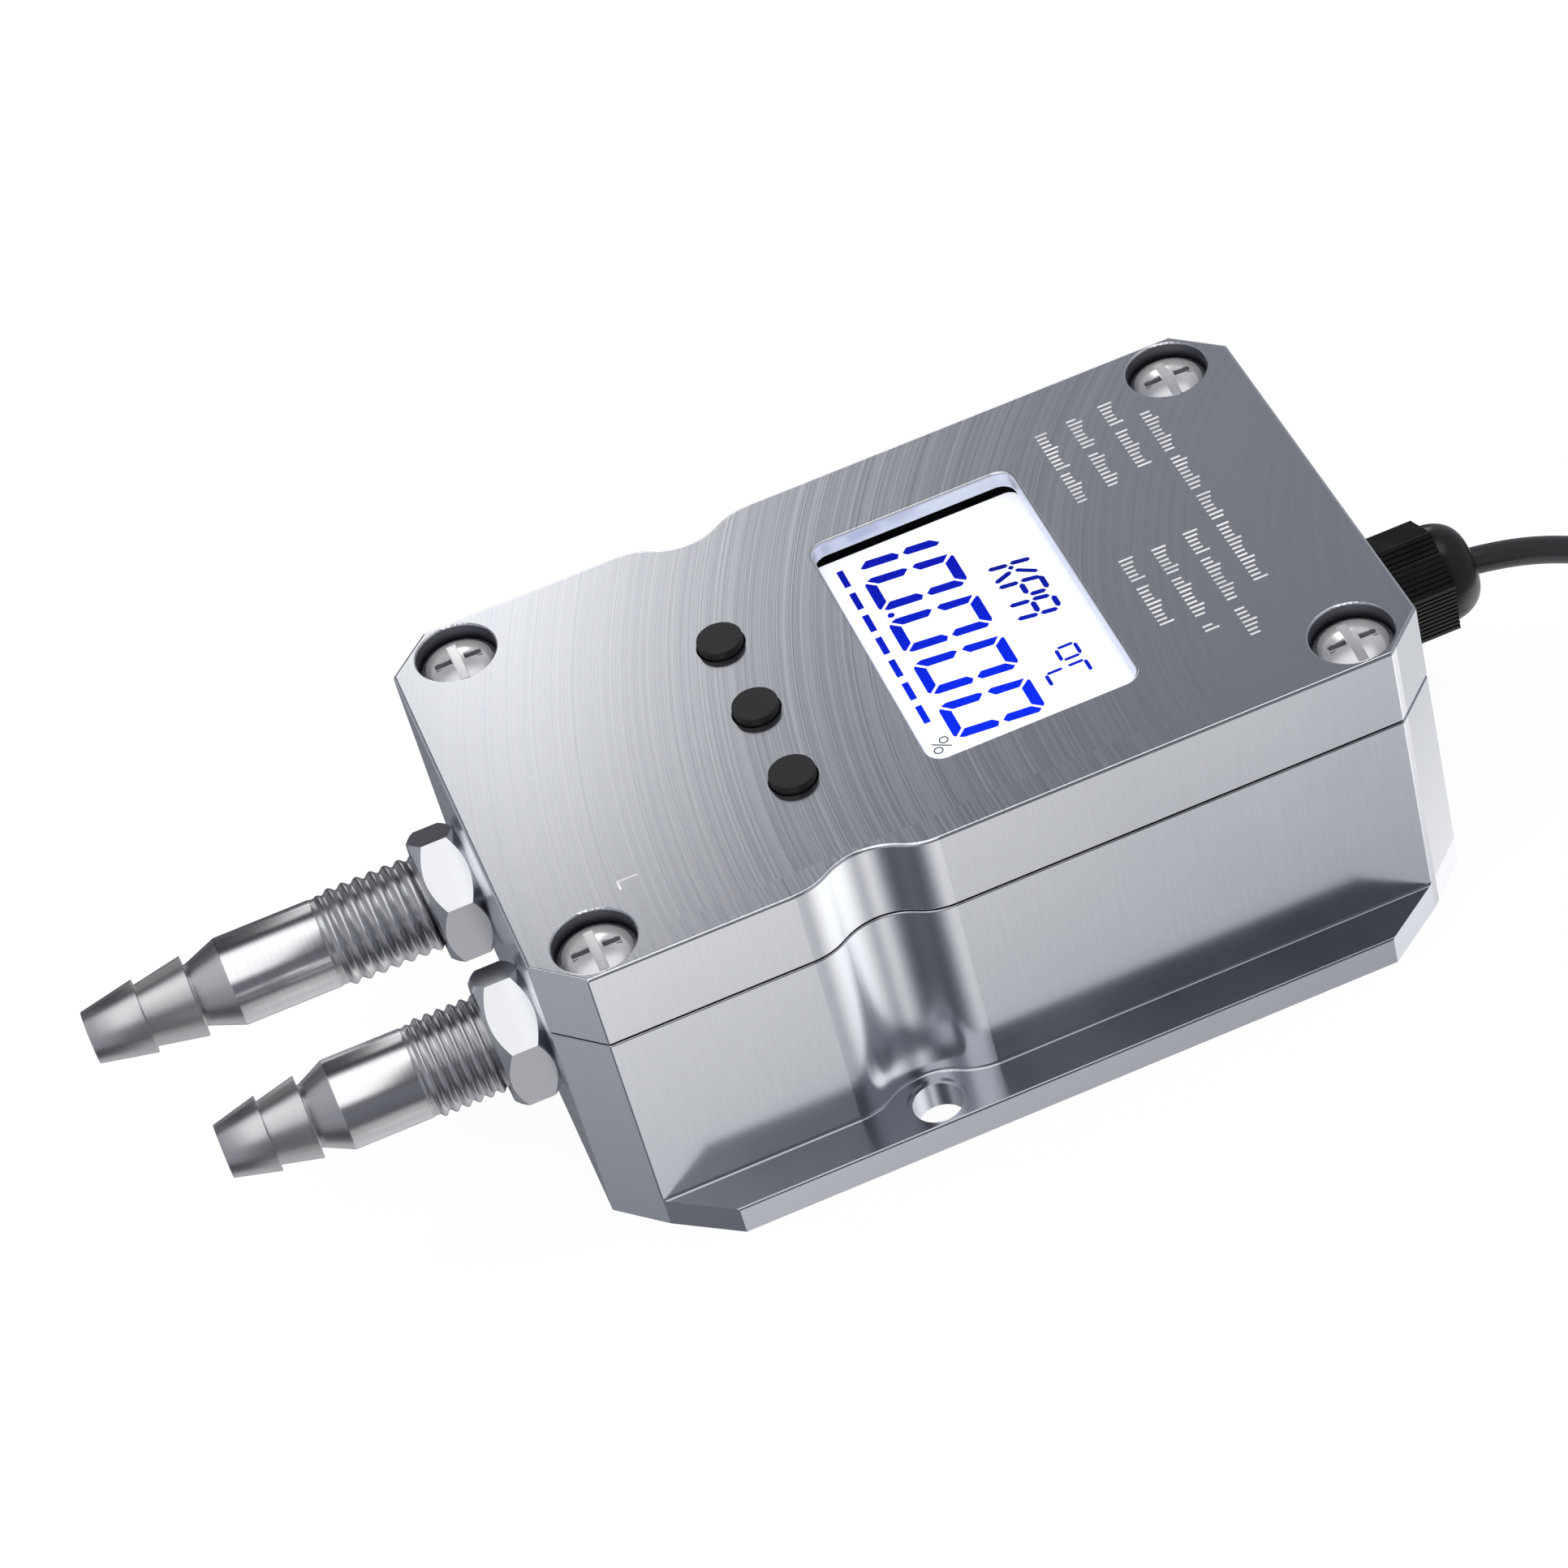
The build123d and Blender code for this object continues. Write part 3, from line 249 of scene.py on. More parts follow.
def makeHousingMetal(name, arcs):
    finish = Finish(name, Metallic=1.0)
    whole, (x, y, z) = finish.place()
    scale, stretch, grainShade, grainRelief = housingMetal["grain"]
    upright = finish.noise(finish.vector(x, y, z * stretch), scale, 3.0, 0.6) - 0.5
    upright = upright * finish.steps(z, *housingMetal["grainFoot"])
    scale, cloudShade, cloudGloss = housingMetal["cloud"]
    cloud = finish.noise(whole, scale, 2.0) - 0.5
    # painted shade: the sides darken towards the foot
    level, height, slope = housingMetal["side"]
    side = upright * grainShade + cloud * cloudShade + (z - height) * slope + level
    # painted light: the right hand chamfers lighten towards the foot and at the flange's edge
    corner, height, slope, least = housingMetal["corner"]
    foot, footLight = housingMetal["paintedFlangeEdgeLight"]
    lighter = (height - z) * slope + (z < foot) * footLight + least
    shade = mix(side, lighter, x > corner)
    relief = upright * grainRelief
    rough = housingMetal["sideRoughness"] + cloud * cloudGloss
    if arcs:
        dx = x - housingMetal["arcCentre"][0]
        dy = y - housingMetal["arcCentre"][1]
        radius = (dx * dx + dy * dy) ** 0.5
        angle = dy.math("ARCTAN2", dx)

        def arcNoise(scale, along, place, detail=2.0):
            return finish.noise(finish.vector(radius, angle * along, place), scale, detail) - 0.5

        streaks = 0.0
        for number, (scale, along, weight) in enumerate(housingMetal["arcs"]):
            streaks = streaks + arcNoise(scale, along, number * housingMetal["layerGap"]) * weight
        scale, along, weight, place = housingMetal["scratches"]
        line = arcNoise(scale, along, place, 1.0)
        low, high = housingMetal["scratchEdge"]
        lines = (finish.steps(line, low, high) - finish.steps(line, -low, -high)) * weight
        inner, full, least = housingMetal["fade"]
        outer, rim, loss = housingMetal["fadeOut"]
        strong = finish.steps(radius, inner, full) * (1 - least) + least
        strong = strong * (1 - finish.steps(radius, outer, rim) * loss)
        level, tint, gloss = housingMetal["arcShade"]
        arcShade = (streaks * tint + lines) * strong + level
        scale, along, depth, place = housingMetal["fine"]
        fine = arcNoise(scale, along, place)
        top = finish.steps(z, *housingMetal["lidTop"])
        # painted highlight on the fillet round the lid's top
        low, high, shine = housingMetal["paintedEdgeHighlight"]
        shade = shade + (z > low) * (z < high) * shine
        shade = mix(shade, arcShade, top)
        relief = mix(relief, fine * strong * depth, top)
        rough = mix(rough, housingMetal["topRoughness"] + streaks * gloss, top)
    ramp = finish.ramp(shade, (0.0, 0.0), (1.0, 1.0))
    tone = finish.blend(ramp, housingMetal["dark"], housingMetal["light"])
    if arcs:
        middleX, middleY, halfX, halfY = housingMetal["window"]
        wall, wallRough, wallPlain = housingMetal["windowWall"]
        inside = ((x - middleX).math("ABSOLUTE") < halfX) * ((y - middleY).math("ABSOLUTE") < halfY)
        inside = inside * (1 - top)
        tone = finish.blend(inside, tone, wall)
        # painted shade on the walls of the screw wells
        boreX, boreY, boreRadius, boreTop = housingMetal["bore"]
        wall, boreRough = housingMetal["paintedBoreShadeAndRoughness"]
        dx = x.math("ABSOLUTE") - boreX
        dy = y.math("ABSOLUTE") - boreY
        bore = ((dx * dx + dy * dy) ** 0.5 < boreRadius) * (z < boreTop)
        tone = finish.blend(bore, tone, wall)
        rough = rough + inside * wallRough + bore * boreRough
        finish.feed("Metallic", 1 - inside * wallPlain)
    finish.feed("Base Color", tone)
    finish.feed("Roughness", rough)
    finish.bump(relief, housingMetal["relief"])
    return finish.material


turnedMetal = {
    "dark": colour("e6e7ea"),
    "light": colour("f8f8fa"),
    "roughness": 0.2,
    "scatter": 0.06,  # how much the grain changes the roughness
    "bump": 0.06,
    "across": 0.004,  # how fast the turning marks change round the axis
    # the barrel alone is polished, between two places along X, each as its middle and the barbs' difference
    "polished": (-87.3, -3.4, -75.8, -2.1),
    "matt": (0.16, 0.22, 0.07),  # rougher and darker elsewhere, and less rough on the thread
    "axis": (13.9, 20.0),
    # painted dark reflections in bands round the axis: tone by the angle in degrees up from -Y
    "paintedReflectionBands": [(-180, 1.0), (-24, 1.0), (-10, 0.85), (0, 0.6), (8, 0.5), (17, 0.85), (26, 1.0), (78, 1.0),
              (87, 0.5), (104, 0.5), (114, 1.0), (180, 1.0)],
}
nutMetal = {
    "dark": colour("dfe1e5"),
    "light": colour("e7e9ec"),
    "roughness": 0.18,
    "scatter": 0.06,
    "bump": 0.02,
    "under": colour("b4b6bb"),  # painted shade: faces that look down are darker
    "lift": (0.25, 0.7),
}
washerMetal = {"dark": colour("8d9096"), "light": colour("b4b6bb"),
               "roughness": 0.3, "scatter": 0.2, "bump": 0.15}
leadMetal = {"dark": colour("a8a49c"), "light": colour("dedbd2"),
             "roughness": 0.35, "scatter": 0.2, "bump": 0.5}


def makeTurnedMetal(name, settings):
    finish = Finish(name, Metallic=1.0)
    whole, (x, y, z) = finish.place()
    if "across" in settings:  # turning marks run round the part's own axis, along X
        across = settings["across"]
        grain = finish.noise(finish.vector(x, y * across, z * across), 7.0, 4.0, 0.7)
    else:
        grain = finish.noise(finish.vector(x * 0.3, y, z), 6.0, 3.0, 0.6)
    cloud = finish.noise(whole, 0.15, 2.0)
    mixed = finish.ramp(grain * 0.6 + cloud * 0.4, (0.3, 0.0), (0.7, 1.0))
    tone = finish.blend(mixed, settings["dark"], settings["light"])
    rough = settings["roughness"] + (grain - 0.5) * settings["scatter"]
    if "paintedReflectionBands" in settings:
        low, lowShift, high, highShift = settings["polished"]
        side = y.math("SIGN")
        thread = x > side * highShift + high
        matt = 1 - (x > side * lowShift + low) * (1 - thread)
        duller, darker, smoother = settings["matt"]
        rough = rough + matt * duller - thread * smoother
        tone = finish.blend(matt * darker, tone, black)
        # painted dark reflections: the tone darkens in bands round the axis
        middle, height = settings["axis"]
        around = (z - height).math("ARCTAN2", side * middle - y) / (2 * math.pi) + 0.5
        stops = [((degrees + 180) / 360, level) for degrees, level in settings["paintedReflectionBands"]]
        tone = finish.blend(finish.ramp(around, *stops), black, tone)
    # painted shade on faces that look down
    if "under" in settings:
        normal = finish.node("ShaderNodeNewGeometry", output="Normal")
        lift = finish.steps(finish.parts(normal)[2], *settings["lift"])
        tone = finish.blend(lift, settings["under"], tone)
    finish.feed("Base Color", tone)
    finish.feed("Roughness", rough)
    finish.bump(grain, 0.01, settings["bump"])
    return finish.material


screwMetal = {
    "place": (49.0, 28.9),  # the lid screws stand at these distances from the middle
    # painted light and shade: the domes are lighter on the far side and darker on the near side: slant, share
    # of the grain, and from where to where
    "far": colour("fdfdfe"),
    "near": colour("dcdee2"),
    "slant": (0.3, 1.5, -3.6, 2.2),
    # painted shade: the walls of the pockets are darker
    "pocket": colour("8b8d92"),
    "pocketHalf": (0.8, 3.15, 0.64, 0.2),  # across from and to, half width, and that of the lighter floor
    "pocketTop": 42.75,
    "roughness": (0.19, 0.15),  # and how much the grain changes it
    "metal": 0.6,
}


def makeScrewMetal(name):
    finish = Finish(name, Metallic=screwMetal["metal"])
    whole, (x, y, z) = finish.place()
    across = x - x.math("SIGN") * screwMetal["place"][0]
    along = y - y.math("SIGN") * screwMetal["place"][1]
    grain = finish.noise(finish.vector(across, along, z), 5.0, 3.0, 0.6)
    # painted light and shade: lighter far side, darker near side
    slant, share, dark, light = screwMetal["slant"]
    shade = finish.steps(along + across * slant + (grain - 0.5) * share, dark, light)
    tone = finish.blend(shade, screwMetal["near"], screwMetal["far"])
    # painted shade on the pocket walls, not on their floors
    low, high, half, floor = screwMetal["pocketHalf"]
    reach = across.math("ABSOLUTE")
    width = along.math("ABSOLUTE")
    pocket = (reach > low) * (reach < high) * (width < half) * (width > floor)
    pocket = pocket * (z < screwMetal["pocketTop"])
    finish.feed("Base Color", finish.blend(pocket, tone, screwMetal["pocket"]))
    rough, scatter = screwMetal["roughness"]
    finish.feed("Roughness", rough + (grain - 0.5) * scatter)
    finish.bump(grain, 0.006, 0.3)
    return finish.material


# moulded plastic or rubber: fine pebble, faint wear and a little cloud in the gloss
plastic = {
    "pebble": 6.0,
    "cloud": 0.2,
    "cloudEdge": (0.35, 0.65),
    "darker": 0.8,  # the colour's range, as factors, and a little added light
    "lighter": (1.15, 0.002),
    "scatter": (0.15, 0.08),  # part of the cloud and of the grain in the roughness
}


def makePlastic(name, shade, roughness, depth=0.01, **settings):
    finish = Finish(name, **settings)
    whole, parts = finish.place()
    grain = finish.noise(whole, plastic["pebble"], 3.0, 0.6)
    cloud = finish.noise(whole, plastic["cloud"], 2.0)
    factor, added = plastic["lighter"]
    dark = tuple(part * plastic["darker"] for part in shade[:3]) + (1,)
    light = tuple(min(1, part * factor + added) for part in shade[:3]) + (1,)
    low, high = plastic["cloudEdge"]
    finish.feed("Base Color", finish.blend(finish.ramp(cloud, (low, 0.0), (high, 1.0)), dark, light))
    cloudPart, grainPart = plastic["scatter"]
    finish.feed("Roughness", roughness + (cloud - 0.5) * cloudPart + (grain - 0.5) * grainPart)
    finish.bump(grain, depth, 0.5)
    return finish.material


button = {
    "top": (colour("17181a"), colour("1b1c1e")),
    "side": colour("030303"),
    "edge": (45.0, 45.1),  # painted shade: the sides are black below these heights
    "roughness": 0.5,
}


def makeButton(name):
    finish = Finish(name)
    whole, (x, y, z) = finish.place()
    grain = finish.noise(whole, 9.0, 3.0, 0.6)
    cloud = finish.noise(whole, 0.3, 2.0)
    top = finish.blend(finish.ramp(cloud, (0.35, 0.0), (0.65, 1.0)), *button["top"])
    # painted shade: the button's sides are black below the edge
    finish.feed("Base Color", finish.blend(finish.steps(z, *button["edge"]), button["side"], top))
    finish.feed("Roughness", button["roughness"] + (grain - 0.5) * 0.1)
    finish.bump(grain, 0.012, 0.5)
    return finish.material


displayPanel = {
    "light": (colour("f7f9ff"), colour("fdfdff")),
    "glass": colour("c4c7cf"),
    "border": colour("010101"),
    "middle": (10.5, -0.06),
    "half": (14.15, 22.33),
    "corner": 1.6,
    "blur": 0.04,  # half the width of the border's soft edge
    "glow": 0.72,
    "roughness": 0.4,
}


def makeDisplayGlass(name):
    finish = Finish(name, Roughness=displayPanel["roughness"], Emission_Strength=displayPanel["glow"],
                    Specular_IOR_Level=0.0)
    whole, (x, y, z) = finish.place()
    corner = displayPanel["corner"]
    squares = 0.0
    for part, middle, half in zip((x, y), displayPanel["middle"], displayPanel["half"]):
        over = ((part - middle).math("ABSOLUTE") - half + corner).math("MAXIMUM", 0.0)
        squares = squares + over * over
    blur = displayPanel["blur"]
    lit = 1 - finish.steps(squares ** 0.5, corner - blur, corner + blur)
    cloud = finish.ramp(finish.noise(whole, 0.12, 2.0), (0.3, 0.0), (0.7, 1.0))
    light = finish.blend(cloud, *displayPanel["light"])
    finish.feed("Base Color", finish.blend(lit, displayPanel["border"], displayPanel["glass"]))
    finish.feed("Emission Color", finish.blend(lit, black, light))
    return finish.material


board = {
    "tracks": (colour("0b4a26"), colour("0a5a2c"), colour("1c7a3f")),
    "scale": 0.35,
    "gap": 0.03,
    "roughness": 0.35,
}


def makeBoard(name):
    finish = Finish(name, Roughness=board["roughness"])
    whole, parts = finish.place()
    first, second, gap = board["tracks"]
    track = finish.node("ShaderNodeTexBrick", {"offset": 0.3}, {
        "Vector": whole, "Scale": board["scale"], "Mortar Size": board["gap"],
        "Color1": first, "Color2": second, "Mortar": gap})
    finish.feed("Base Color", track)
    finish.bump(finish.noise(whole, 2.0, 3.0), 0.02, 0.4)
    return finish.material


pane = {
    "tint": (colour("fafcff"), white),
    "cloud": 0.1,
    "bend": 1.1,  # how much the pane bends light
    "roughness": 0.02,
}


def makePane(name):
    finish = Finish(name, Roughness=pane["roughness"], IOR=pane["bend"], Transmission_Weight=1.0,
                    Specular_IOR_Level=0.5)
    whole, parts = finish.place()
    finish.feed("Base Color", finish.blend(finish.noise(whole, pane["cloud"], 2.0), *pane["tint"]))
    return finish.material


finishes = {
    "housing_metal": makeHousingMetal("housingMetal", False),
    "seal_rubber": makePlastic("sealRubber", colour("050505"), 0.8, Specular_IOR_Level=0.1),
    "clear_pane": makePane("clearPane"),
    "black_plastic": makePlastic("blackPlastic", colour("020202"), 0.6, depth=0.002, Specular_IOR_Level=0.0),
    "display_glass": makeDisplayGlass("displayGlass"),
    "light_guide": makePlastic("lightGuide", colour("eef1f5"), 0.4),
    "board": makeBoard("board"),
    "sensor_plastic": makePlastic("sensorPlastic", colour("dcdbd4"), 0.45),
    "turned_metal": makeTurnedMetal("turnedMetal", turnedMetal),
    "silicone": makePlastic("silicone", colour("e4e3de"), 0.4, Transmission_Weight=0.2),
    "terminal_plastic": makePlastic("terminalPlastic", colour("1d7a4a"), 0.4),
    "ribbon_plastic": makePlastic("ribbonPlastic", colour("b9babd"), 0.5),
    "gland_nylon": makePlastic("glandNylon", colour("080809"), 0.22, depth=0.004, Specular_IOR_Level=0.55),
    "cable_jacket": makePlastic("cableJacket", colour("0d0e0f"), 0.2, depth=0.004, Specular_IOR_Level=1.0),
    "core_red": makePlastic("coreRed", colour("b3181a"), 0.35),
    "core_black": makePlastic("coreBlack", colour("141415"), 0.35),
    "screw_steel": makeScrewMetal("screwSteel"),
    "switch_plastic": makePlastic("switchPlastic", colour("26272a"), 0.5),
    "button_plastic": makeButton("buttonPlastic"),
}
nutFinish = makeTurnedMetal("nutMetal", nutMetal)
washerFinish = makeTurnedMetal("washerMetal", washerMetal)
leadFinish = makeTurnedMetal("leadTin", leadMetal)

# nodes that look unlike the rest of their slot
special = {"lid": makeHousingMetal("lidMetal", True), "lock_nut_high": nutFinish, "lock_nut_low": nutFinish}
special.update({f"lid_washer_{number}": washerFinish for number in lidCorners})
for entry in frame["record"]["subparts"]:
    name = entry["node"]
    finish = special.get(name, finishes[entry["material_slot"]])
    for place in nodes[name].material_slots:
        place.material = finish
print("finishes made:", len(bpy.data.materials))


def makeData(name, mesh):
    data = bpy.data.meshes.new(name)
    mesh.to_mesh(data)
    mesh.free()
    return data


# A mesh piece from a finished bmesh, in millimetres until here
def makePiece(name, mesh, finish, smooth=True):
    bmesh.ops.scale(mesh, vec=(mm, mm, mm), verts=mesh.verts)
    data = makeData(name, mesh)
    data.materials.append(finish)
    for face in data.polygons:
        face.use_smooth = smooth
    piece = addObject(name, data)
    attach(piece, "housing")
    return piece


# Cord: the route of part.py, then the coil's turns by a loop, then the end
cord = {
    "diameter": 3.6,
    "route": [(73.6, 0, 20), (79.2, 0, 19.2), (88, 0, 15.8), (97, -0.5, 10.2), (107, -1.5, 4.6),
              (119, -2.7, 1.8)],
    "coilCentre": (136.0, 22.0),
    "turnRadii": [25.1, 21.5, 17.9, 17.9, 21.5, 25.1],
    "turnHeights": [1.8, 1.8, 1.8, 5.4, 5.4, 5.4],
    "pointsPerTurn": 18,
    "crossing": 0.28,  # the share of a turn on which the cord moves to the next one
    "endOffsets": [(0, -25.1, 5.4), (11.5, -26.2, 4.6), (21.5, -21.8, 2.5), (28.8, -12.0, 1.8),
                   (31.0, 0.5, 1.8), (28.6, 12.6, 1.8), (22.2, 23.0, 1.8)],
    "length": 948.0,
}


def cordCurve(name, points, radius, finish):
    curve = bpy.data.curves.new(name, "CURVE")
    curve.dimensions = "3D"
    curve.bevel_depth = radius * mm
    curve.bevel_resolution = 5
    curve.resolution_u = 8
    curve.use_fill_caps = True
    spline = curve.splines.new("NURBS")
    spline.points.add(len(points) - 1)
    for spot, point in zip(spline.points, points):
        spot.co = (point[0] * mm, point[1] * mm, point[2] * mm, 1)
    spline.order_u = 3
    spline.use_endpoint_u = True
    curve.materials.append(finish)
    piece = addObject(name, curve)
    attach(piece, "housing")
    return piece


def coilPoints():
    count = cord["pointsPerTurn"]
    outward = 1 / (0.75 + 0.25 * math.cos(2 * math.pi / count))  # the spline cuts inside its points
    centreX, centreY = cord["coilCentre"]
    radii = cord["turnRadii"] + cord["turnRadii"][-1:]
    heights = cord["turnHeights"] + cord["turnHeights"][-1:]
    points = []
    for turn in range(len(cord["turnRadii"])):
        for step in range(count):
            part = max(0, step / count - (1 - cord["crossing"])) / cord["crossing"]
            ease = part * part * (3 - 2 * part)
            radius = mix(radii[turn], radii[turn + 1], ease) * outward
            height = mix(heights[turn], heights[turn + 1], ease)
            angle = math.radians(-90 + 360 * step / count)
            points.append((centreX + radius * math.cos(angle), centreY + radius * math.sin(angle), height))
    return points


cordEnd = [(cord["coilCentre"][0] + x, cord["coilCentre"][1] + y, z) for x, y, z in cord["endOffsets"]]
cordPoints = cord["route"] + coilPoints() + cordEnd
cordPiece = cordCurve("cord", cordPoints, cord["diameter"] / 2, finishes["cable_jacket"])
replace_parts(cordPiece, "cable", "cable_coil", "cable_end")

leads = {
    "length": 26.0,
    "coreSpacing": 0.85,
    "spread": 3.0,
    "bend": (1 / 3, 1 / 4, 0.1),  # the middle point: share of the length, of the spread, and lift
    "coreRadius": 0.6,
    "tipLength": 6.0,
    "tipRadius": 0.4,
    "overlap": 1.0,  # a lead starts inside the cord, and a tip inside its lead
}


def addLeads():
    last = Vector(cordEnd[-1])
    heading = (last - Vector(cordEnd[-2])).normalized()
    across = Vector((-heading.y, heading.x, 0))
    along, aside, lift = leads["bend"]
    overlap = leads["overlap"]
    made = []
    for number, side, slot in ((1, 1, "core_red"), (2, -1, "core_black")):
        start = last + across * side * leads["coreSpacing"] - heading * overlap
        spread = across * side * leads["spread"]
        middle = start + heading * (leads["length"] * along + overlap) + spread * aside
        middle.z = leads["coreRadius"] + lift
        end = start + heading * (leads["length"] - leads["tipLength"] + overlap) + spread
        end.z = leads["coreRadius"]
        core = cordCurve(f"lead{number}", [start, middle, end], leads["coreRadius"], finishes[slot])
        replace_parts(core, f"lead_{number}")
        ahead = (end - middle).normalized()
        points = [end - ahead * overlap, end, end + ahead * leads["tipLength"]]
        tip = cordCurve(f"leadTip{number}", points, leads["tipRadius"], leadFinish)
        made += [core, tip]
    return made


leadPieces = addLeads()
print("cord laid")


# Hose barbs, turned profiles with a rolled thread behind the barrel
barb = {
    "axisY": 13.9,
    "axisZ": 20.0,
    "wallX": -57.5,
    "longRatio": 1.257,  # the far barb's lengths over the near one's
    "tipRadius": 3.47,
    "frontRidge": (4.96, 5.9),  # radius and length
    "rearRidge": (5.43, 5.3),
    "neckRadius": 4.17,
    "neckLand": 0.26,
    "coneLength": 3.6,
    "barrelRadius": 5.9,
    "barrelLength": 10.2,
    "threadReach": 16.2,  # from the wall to the barrel
    "shoulder": 0.3,  # from the barrel down to the thread's core
    "coreRadius": 5.78,
    "innerEnd": -49.0,
    "spigot": (2.0, 3.2, 1.2),  # radius, length and bore of the end inside
    "boreRadius": 1.7,
    "edge": 0.12,
    "edgeAngle": 20.0,  # edges that turn by more degrees are rounded
    "sharpAngle": 50.0,
    "around": 128,
}
thread = {
    "pitch": 1.52,
    "root": 5.72,
    "crest": 6.35,
    "fullness": 0.75,  # below 1 the crests are fuller than the grooves
    "lead": 0.9,  # it starts this share of a pitch inside the barrel
    "sink": 0.05,  # and runs out this far below its root
    "samples": 8,
    "around": 56,
}


def spinProfile(mesh, points, centre, steps):  # full turn of a closed profile about an axis along X
    verts = [mesh.verts.new((x, centre[1], centre[2] + r)) for x, r in points]
    edges = [mesh.edges.new(pair) for pair in zip(verts, verts[1:] + verts[:1])]
    bmesh.ops.spin(mesh, geom=verts + edges, cent=centre, axis=(1, 0, 0), dvec=(0, 0, 0),
                   angle=2 * math.pi, steps=steps, use_merge=True)
    bmesh.ops.recalc_face_normals(mesh, faces=mesh.faces)


def roundEdges(mesh, width, least):  # bevels each edge that turns by more than least degrees
    sharp = [edge for edge in mesh.edges
             if len(edge.link_faces) == 2 and edge.calc_face_angle(0) > math.radians(least)]
    bmesh.ops.bevel(mesh, geom=sharp, offset=width, offset_type="OFFSET", affect="EDGES", segments=2,
                    profile=0.5, material=-1, clamp_overlap=True)


# one pitch of the thread's section wound along the axis, sinking into the barb at both ends
def addThread(mesh, centre, barrelEdge, ratio):
    pitch = thread["pitch"] * ratio
    turns = int((barb["innerEnd"] - barrelEdge) / pitch)
    start = barrelEdge - thread["lead"] * pitch
    stop = start + (turns + 1) * pitch
    around = thread["around"]
    wound = bmesh.new()
    verts = []
    for sample in range(thread["samples"] + 1):
        part = sample / thread["samples"]
        lift = (0.5 - 0.5 * math.cos(2 * math.pi * part)) ** thread["fullness"]
        radius = mix(thread["root"], thread["crest"], lift)
        verts.append(wound.verts.new((start + part * pitch, centre[1], centre[2] + radius)))
    edges = [wound.edges.new(pair) for pair in zip(verts, verts[1:])]
    bmesh.ops.spin(wound, geom=verts + edges, cent=centre, axis=(1, 0, 0), dvec=(pitch / around, 0, 0),
                   angle=2 * math.pi * turns, steps=around * turns, use_merge=False)
    bmesh.ops.remove_doubles(wound, verts=wound.verts, dist=0.002)
    for vert in wound.verts:
        part = min(1, max(0, (vert.co.x - start) / pitch - 1), max(0, (stop - vert.co.x) / pitch - 1))
        ease = part * part * (3 - 2 * part)
        out = Vector((0, vert.co.y - centre[1], vert.co.z - centre[2]))
        radius = out.length
        out *= mix(thread["root"] - thread["sink"], radius, ease) / radius
        vert.co = Vector((vert.co.x, centre[1] + out.y, centre[2] + out.z))
    # a sleeve between its two open rims closes it, out of sight
    bmesh.ops.bridge_loops(wound, edges=[edge for edge in wound.edges if len(edge.link_faces) == 1])
    bmesh.ops.recalc_face_normals(wound, faces=wound.faces)
    data = makeData("threadPart", wound)
    mesh.from_mesh(data)
    bpy.data.meshes.remove(data)


def addBarb(name, side, ratio):
    barrelEdge = barb["wallX"] - barb["threadReach"] * ratio
    barrelEnd = barrelEdge - barb["barrelLength"] * ratio
    coneEnd = barrelEnd - barb["coneLength"] * ratio
    rear = coneEnd - barb["neckLand"]
    front = rear - barb["rearRidge"][1] * ratio
    tip = front - barb["frontRidge"][1] * ratio
    neck, barrel, core, bore = (barb[part + "Radius"] for part in ("neck", "barrel", "core", "bore"))
    inner = barb["innerEnd"]
    spigot, reach, hole = barb["spigot"]
    profile = [
        (tip, bore), (tip, barb["tipRadius"]), (front, barb["frontRidge"][0]), (front, neck),
        (rear, barb["rearRidge"][0]), (rear, neck), (coneEnd, neck), (barrelEnd, barrel),
        (barrelEdge, barrel), (barrelEdge + barb["shoulder"], core), (inner, core), (inner, spigot),
        (inner + reach, spigot), (inner + reach, hole), (inner, hole), (inner, bore),
    ]
    centre = (0, side * barb["axisY"], barb["axisZ"])
    mesh = bmesh.new()
    spinProfile(mesh, profile, centre, barb["around"])
    roundEdges(mesh, barb["edge"], barb["edgeAngle"])
    addThread(mesh, centre, barrelEdge, ratio)
    piece = makePiece(name, mesh, finishes["turned_metal"])
    piece.data.set_sharp_from_angle(angle=math.radians(barb["sharpAngle"]))
    return piece


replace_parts(addBarb("barbHigh", 1, barb["longRatio"]), "hose_barb_high")
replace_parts(addBarb("barbLow", -1, 1.0), "hose_barb_low")
print("barbs turned")


# Lid screws: a low dome with a slot right across it, and a tapered pocket on each side of the slot
screw = {
    "headRadius": 4.4,
    "sideHeight": 0.3,
    "domeHeight": 1.0,
    "shankRadius": 1.9,
    "slot": (-0.75, 0.52),
    "slotDepth": 0.66,
    "pocketReach": (0.85, 3.1),
    "pocketHalf": (0.62, 0.4),  # half widths at the inner and the outer end
    "pocketDepth": 0.8,
    "pocketFloor": 0.6,  # the floor's width as a share of the mouth's
    "sharpAngle": 25.0,
    "around": 96,
    "rings": 12,
    "merge": 1e-4,
}


def wholeRegion(faces):  # faces with their edges and points, each once and in the same order every time
    return list(dict.fromkeys(part for face in faces for part in (face, *face.edges, *face.verts)))


def cutDome(mesh, spot, normal, above):  # a cut line over the dome, without a gap
    region = wholeRegion([face for face in mesh.faces if face.calc_center_median().z > above])
    bmesh.ops.bisect_plane(mesh, geom=region, dist=1e-5, plane_co=spot, plane_no=normal)


def extrudeRegion(mesh, parts):  # gives walls to a region, and hands back the points of its cap
    raised = bmesh.ops.extrude_face_region(mesh, geom=parts)
    return [part for part in raised["geom"] if isinstance(part, bmesh.types.BMVert)]


def sinkFaces(mesh, chosen, depth):  # pushes a patch of faces down to one height
    region = wholeRegion([face for face in mesh.faces if chosen(face.calc_center_median())])
    verts = extrudeRegion(mesh, region)
    for vert in verts:
        vert.co.z = depth
    return verts


